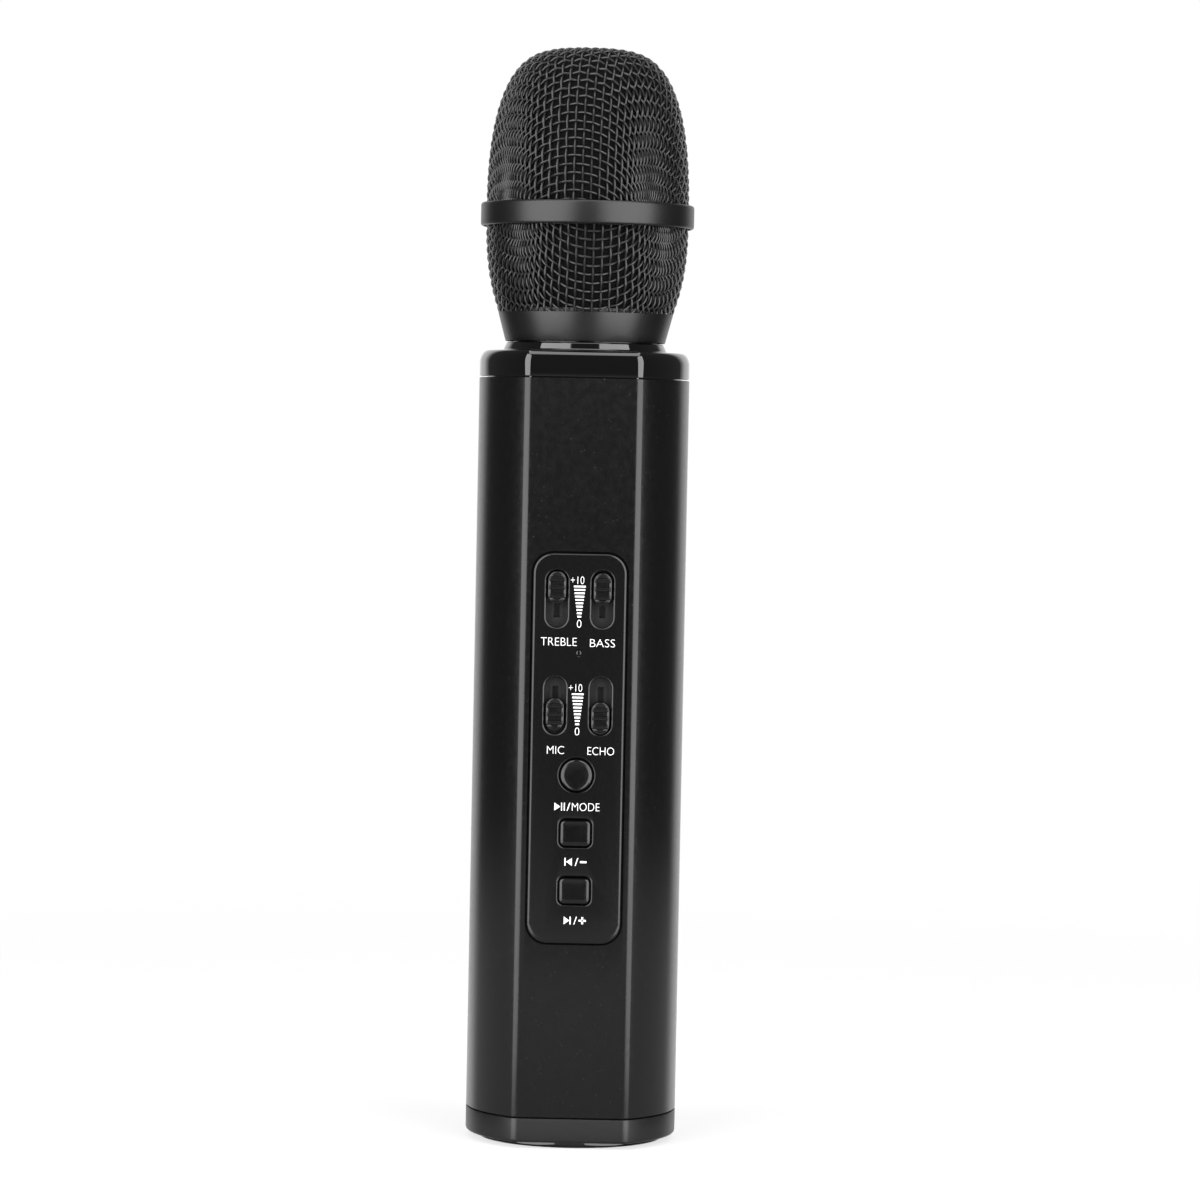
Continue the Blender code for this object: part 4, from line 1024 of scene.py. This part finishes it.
# Nickel-plated steel: bright and slightly yellow, with fine rolling marks.
nickel_steel = new_material("nickel_plated_steel", "#b5b2aa", 0.25, metallic=1.0)
grain(nickel_steel, 0.2 * MM, 0.002 * MM, stretch=(8, 1, 1), gloss=0.07)
coat(nickel_steel, "charge_socket", "audio_socket", "card_reader", "power_switch_case")
coat(knob_abs, "power_switch_slider")

# ---------------------------------------------------------------- base screws
# Three countersunk self-tapping screws, 3.4 mm across the head, go up through the gloss
# disc into bosses of the cap. Each has a cross recess.

# Zinc-plated steel under black chromate: dark, with a dull metallic sheen.
black_zinc = new_material("black_zinc_on_steel", "#4a4a4d", 0.32, metallic=1.0)
grain(black_zinc, 0.4 * MM, 0.004 * MM, gloss=0.08, shade=0.15)
SCREW = [(0.0, 6.2), (0.25, 6.1), (0.9, 5.3), (0.9, 1.1), (1.68, 0.33), (1.7, 0.27)]
SCREW += [(1.6, 0.25), (0.0, 0.25)]
for number, place in enumerate(SCREW_PLACES, 1):
    screw = turned(bmesh.new(), in_mm(SCREW), 32, closed=False)
    for turn in (0.3, 0.3 + math.pi / 2):
        blade = bmesh.new()
        bmesh.ops.create_cone(
            blade, cap_ends=True, segments=4, radius1=1.35 * MM, radius2=0.3 * MM, depth=1.6 * MM,
            matrix=Matrix.Translation((0, 0, 0.95 * MM)) @ Matrix.Rotation(math.pi / 4, 4, "Z"),
        )
        bmesh.ops.scale(blade, vec=(1.0, 0.22, 1.0), verts=blade.verts)
        bmesh.ops.rotate(blade, matrix=Matrix.Rotation(turn, 3, "Z"), verts=blade.verts)
        screw = cut(screw, blade)
    bmesh.ops.translate(screw, vec=place, verts=screw.verts)
    name = f"base_screw_{number}"
    piece(f"cross_head_screw_{number}", screw, black_zinc, BODY, name, slot="screw_steel")

# ---------------------------------------------------------------- boards and cell
# The moulded plate inside the tube carries the main board, the radio module under its
# can, and the lithium cell, with the control board behind the panel.

# Solder mask over copper: green and glossy, with the tracks showing through it.
solder_mask = new_material("solder_mask_over_copper", "#0c3a1f", 0.3)
mask_tree = solder_mask.node_tree
place = add_node(mask_tree, "TexCoord")
tracks = add_node(
    mask_tree,
    "TexBrick",
    {
        "Vector": place.outputs["Object"],
        "Scale": 1 / (4.0 * MM),
        "Color1": colour("#0c3a1f"),
        "Color2": colour("#0e4224"),
        "Mortar": colour("#2a6a3c"),
        "Mortar Size": 0.03,
    },
)
mask_shader = mask_tree.nodes["Principled BSDF"]
mask_tree.links.new(tracks.outputs["Color"], mask_shader.inputs["Base Color"])
raised = add_node(mask_tree, "Bump", {"Height": tracks.outputs["Fac"], "Distance": 0.035 * MM})
mask_tree.links.new(raised.outputs[0], mask_shader.inputs["Normal"])
coat(solder_mask, "control_board", "main_board", "socket_board")
coat(nickel_steel, "radio_module")
# Shrink sleeve of PVC on the cell: blue, glossy and finely wrinkled.
pvc_sleeve = new_material("shrunk_pvc_sleeve", "#1f4f9c", 0.25)
grain(pvc_sleeve, 3.0 * MM, 0.05 * MM, stretch=(1, 1, 5), gloss=0.05)
coat(pvc_sleeve, "battery_cell")
# Chip LED: a white ceramic-filled body with a pale yellow phosphor top.
led_resin = new_material("white_led_resin", "#e4e0c8", 0.4)
grain(led_resin, 0.3 * MM, 0.004 * MM, gloss=0.05)
coat(led_resin, "status_led")

# ---------------------------------------------------------------- floor and light
# A pale table that is mostly clear fades out into a white surround. One soft box hangs
# above, and the two at the sides reach below the table's height and shine through it.

scene.view_settings.view_transform = "Standard"
# The camera sees plain white. All else is lit by a studio that is dark in front of the
# microphone and bright behind it.
world = bpy.data.worlds.new("studio")
scene.world = world
world.use_nodes = True
tree = world.node_tree
tree.nodes.clear()
direction = add_node(tree, "TexCoord")
axes = add_node(tree, "SeparateXYZ", {0: direction.outputs["Generated"]})
behind = add_node(tree, "ValToRGB", {"Fac": axes.outputs["Y"]})
stops = behind.color_ramp.elements
GLOWS = ((0.7, 0.09), (0.84, 1.0), (0.93, 0.9), (1.0, 1.0))
for place_at, glow in GLOWS[1:3]:
    stops.new(place_at)
for stop, (place_at, glow) in zip(stops, GLOWS):
    stop.position = place_at
    stop.color = (glow, glow, glow, 1.0)
seen = add_node(tree, "LightPath")
studio = add_node(tree, "Background", {"Color": behind.outputs[0], "Strength": 1.0})
wall = add_node(tree, "Background", {"Color": colour("#ffffff"), "Strength": 1.0})
mixed = add_node(
    tree,
    "MixShader",
    {0: seen.outputs["Is Camera Ray"], 1: studio.outputs[0], 2: wall.outputs[0]},
)
add_node(tree, "OutputWorld", {"Surface": mixed.outputs[0]})


def soft_box(name, place, target, width, height, power):
    """A rectangular studio light that faces a target."""
    data = bpy.data.lights.new(name, "AREA")
    data.shape = "RECTANGLE"
    data.size = width
    data.size_y = height
    data.energy = power
    made = bpy.data.objects.new(name, data)
    made.location = place
    made.rotation_mode = "QUATERNION"
    made.rotation_quaternion = (Vector(target) - Vector(place)).to_track_quat("-Z", "Y")
    scene.collection.objects.link(made)


LIT = (0, 0, 0.15)
for side, across in (("left", -0.75), ("right", 0.75)):
    soft_box(side + "_soft_box", (across, -0.75, 0.36), LIT, 1.2, 1.9, 30)
soft_box("top_soft_box", (0, -0.12, 1.1), LIT, 0.9, 0.9, 7)

FLOOR_RADIUS = 0.8
FLOOR_GAP = 0.05 * MM
floor_mesh = bmesh.new()
bmesh.ops.create_circle(floor_mesh, cap_ends=True, segments=96, radius=FLOOR_RADIUS)
bmesh.ops.translate(floor_mesh, vec=(0, 0, -FLOOR_GAP), verts=floor_mesh.verts)
floor_data = bpy.data.meshes.new("floor")
floor_mesh.to_mesh(floor_data)
floor_mesh.free()
floor = bpy.data.objects.new("floor", floor_data)
scene.collection.objects.link(floor)
# Matt white laminate: 72% clear within 0.2 m and gone from 0.7 m out, so that it shows
# as little more than a faint shadow.
floor_paint = bpy.data.materials.new("matt_white_laminate")
floor_paint.use_nodes = True
floor_data.materials.append(floor_paint)
tree = floor_paint.node_tree
shader = tree.nodes["Principled BSDF"]
shader.inputs["Base Color"].default_value = colour("#f2f2f2")
shader.inputs["Roughness"].default_value = 0.9
place = add_node(tree, "TexCoord")
reach = add_node(tree, "VectorMath", {0: place.outputs["Object"]}, operation="LENGTH")
fade = add_node(
    tree,
    "MapRange",
    {"Value": reach.outputs["Value"], "From Min": 0.2, "From Max": 0.7, "To Min": 0.72},
    interpolation_type="SMOOTHSTEP",
)
clear = add_node(tree, "BsdfTransparent")
blended = add_node(
    tree, "MixShader", {0: fade.outputs[0], 1: shader.outputs[0], 2: clear.outputs[0]}
)
tree.links.new(blended.outputs[0], tree.nodes["Material Output"].inputs["Surface"])
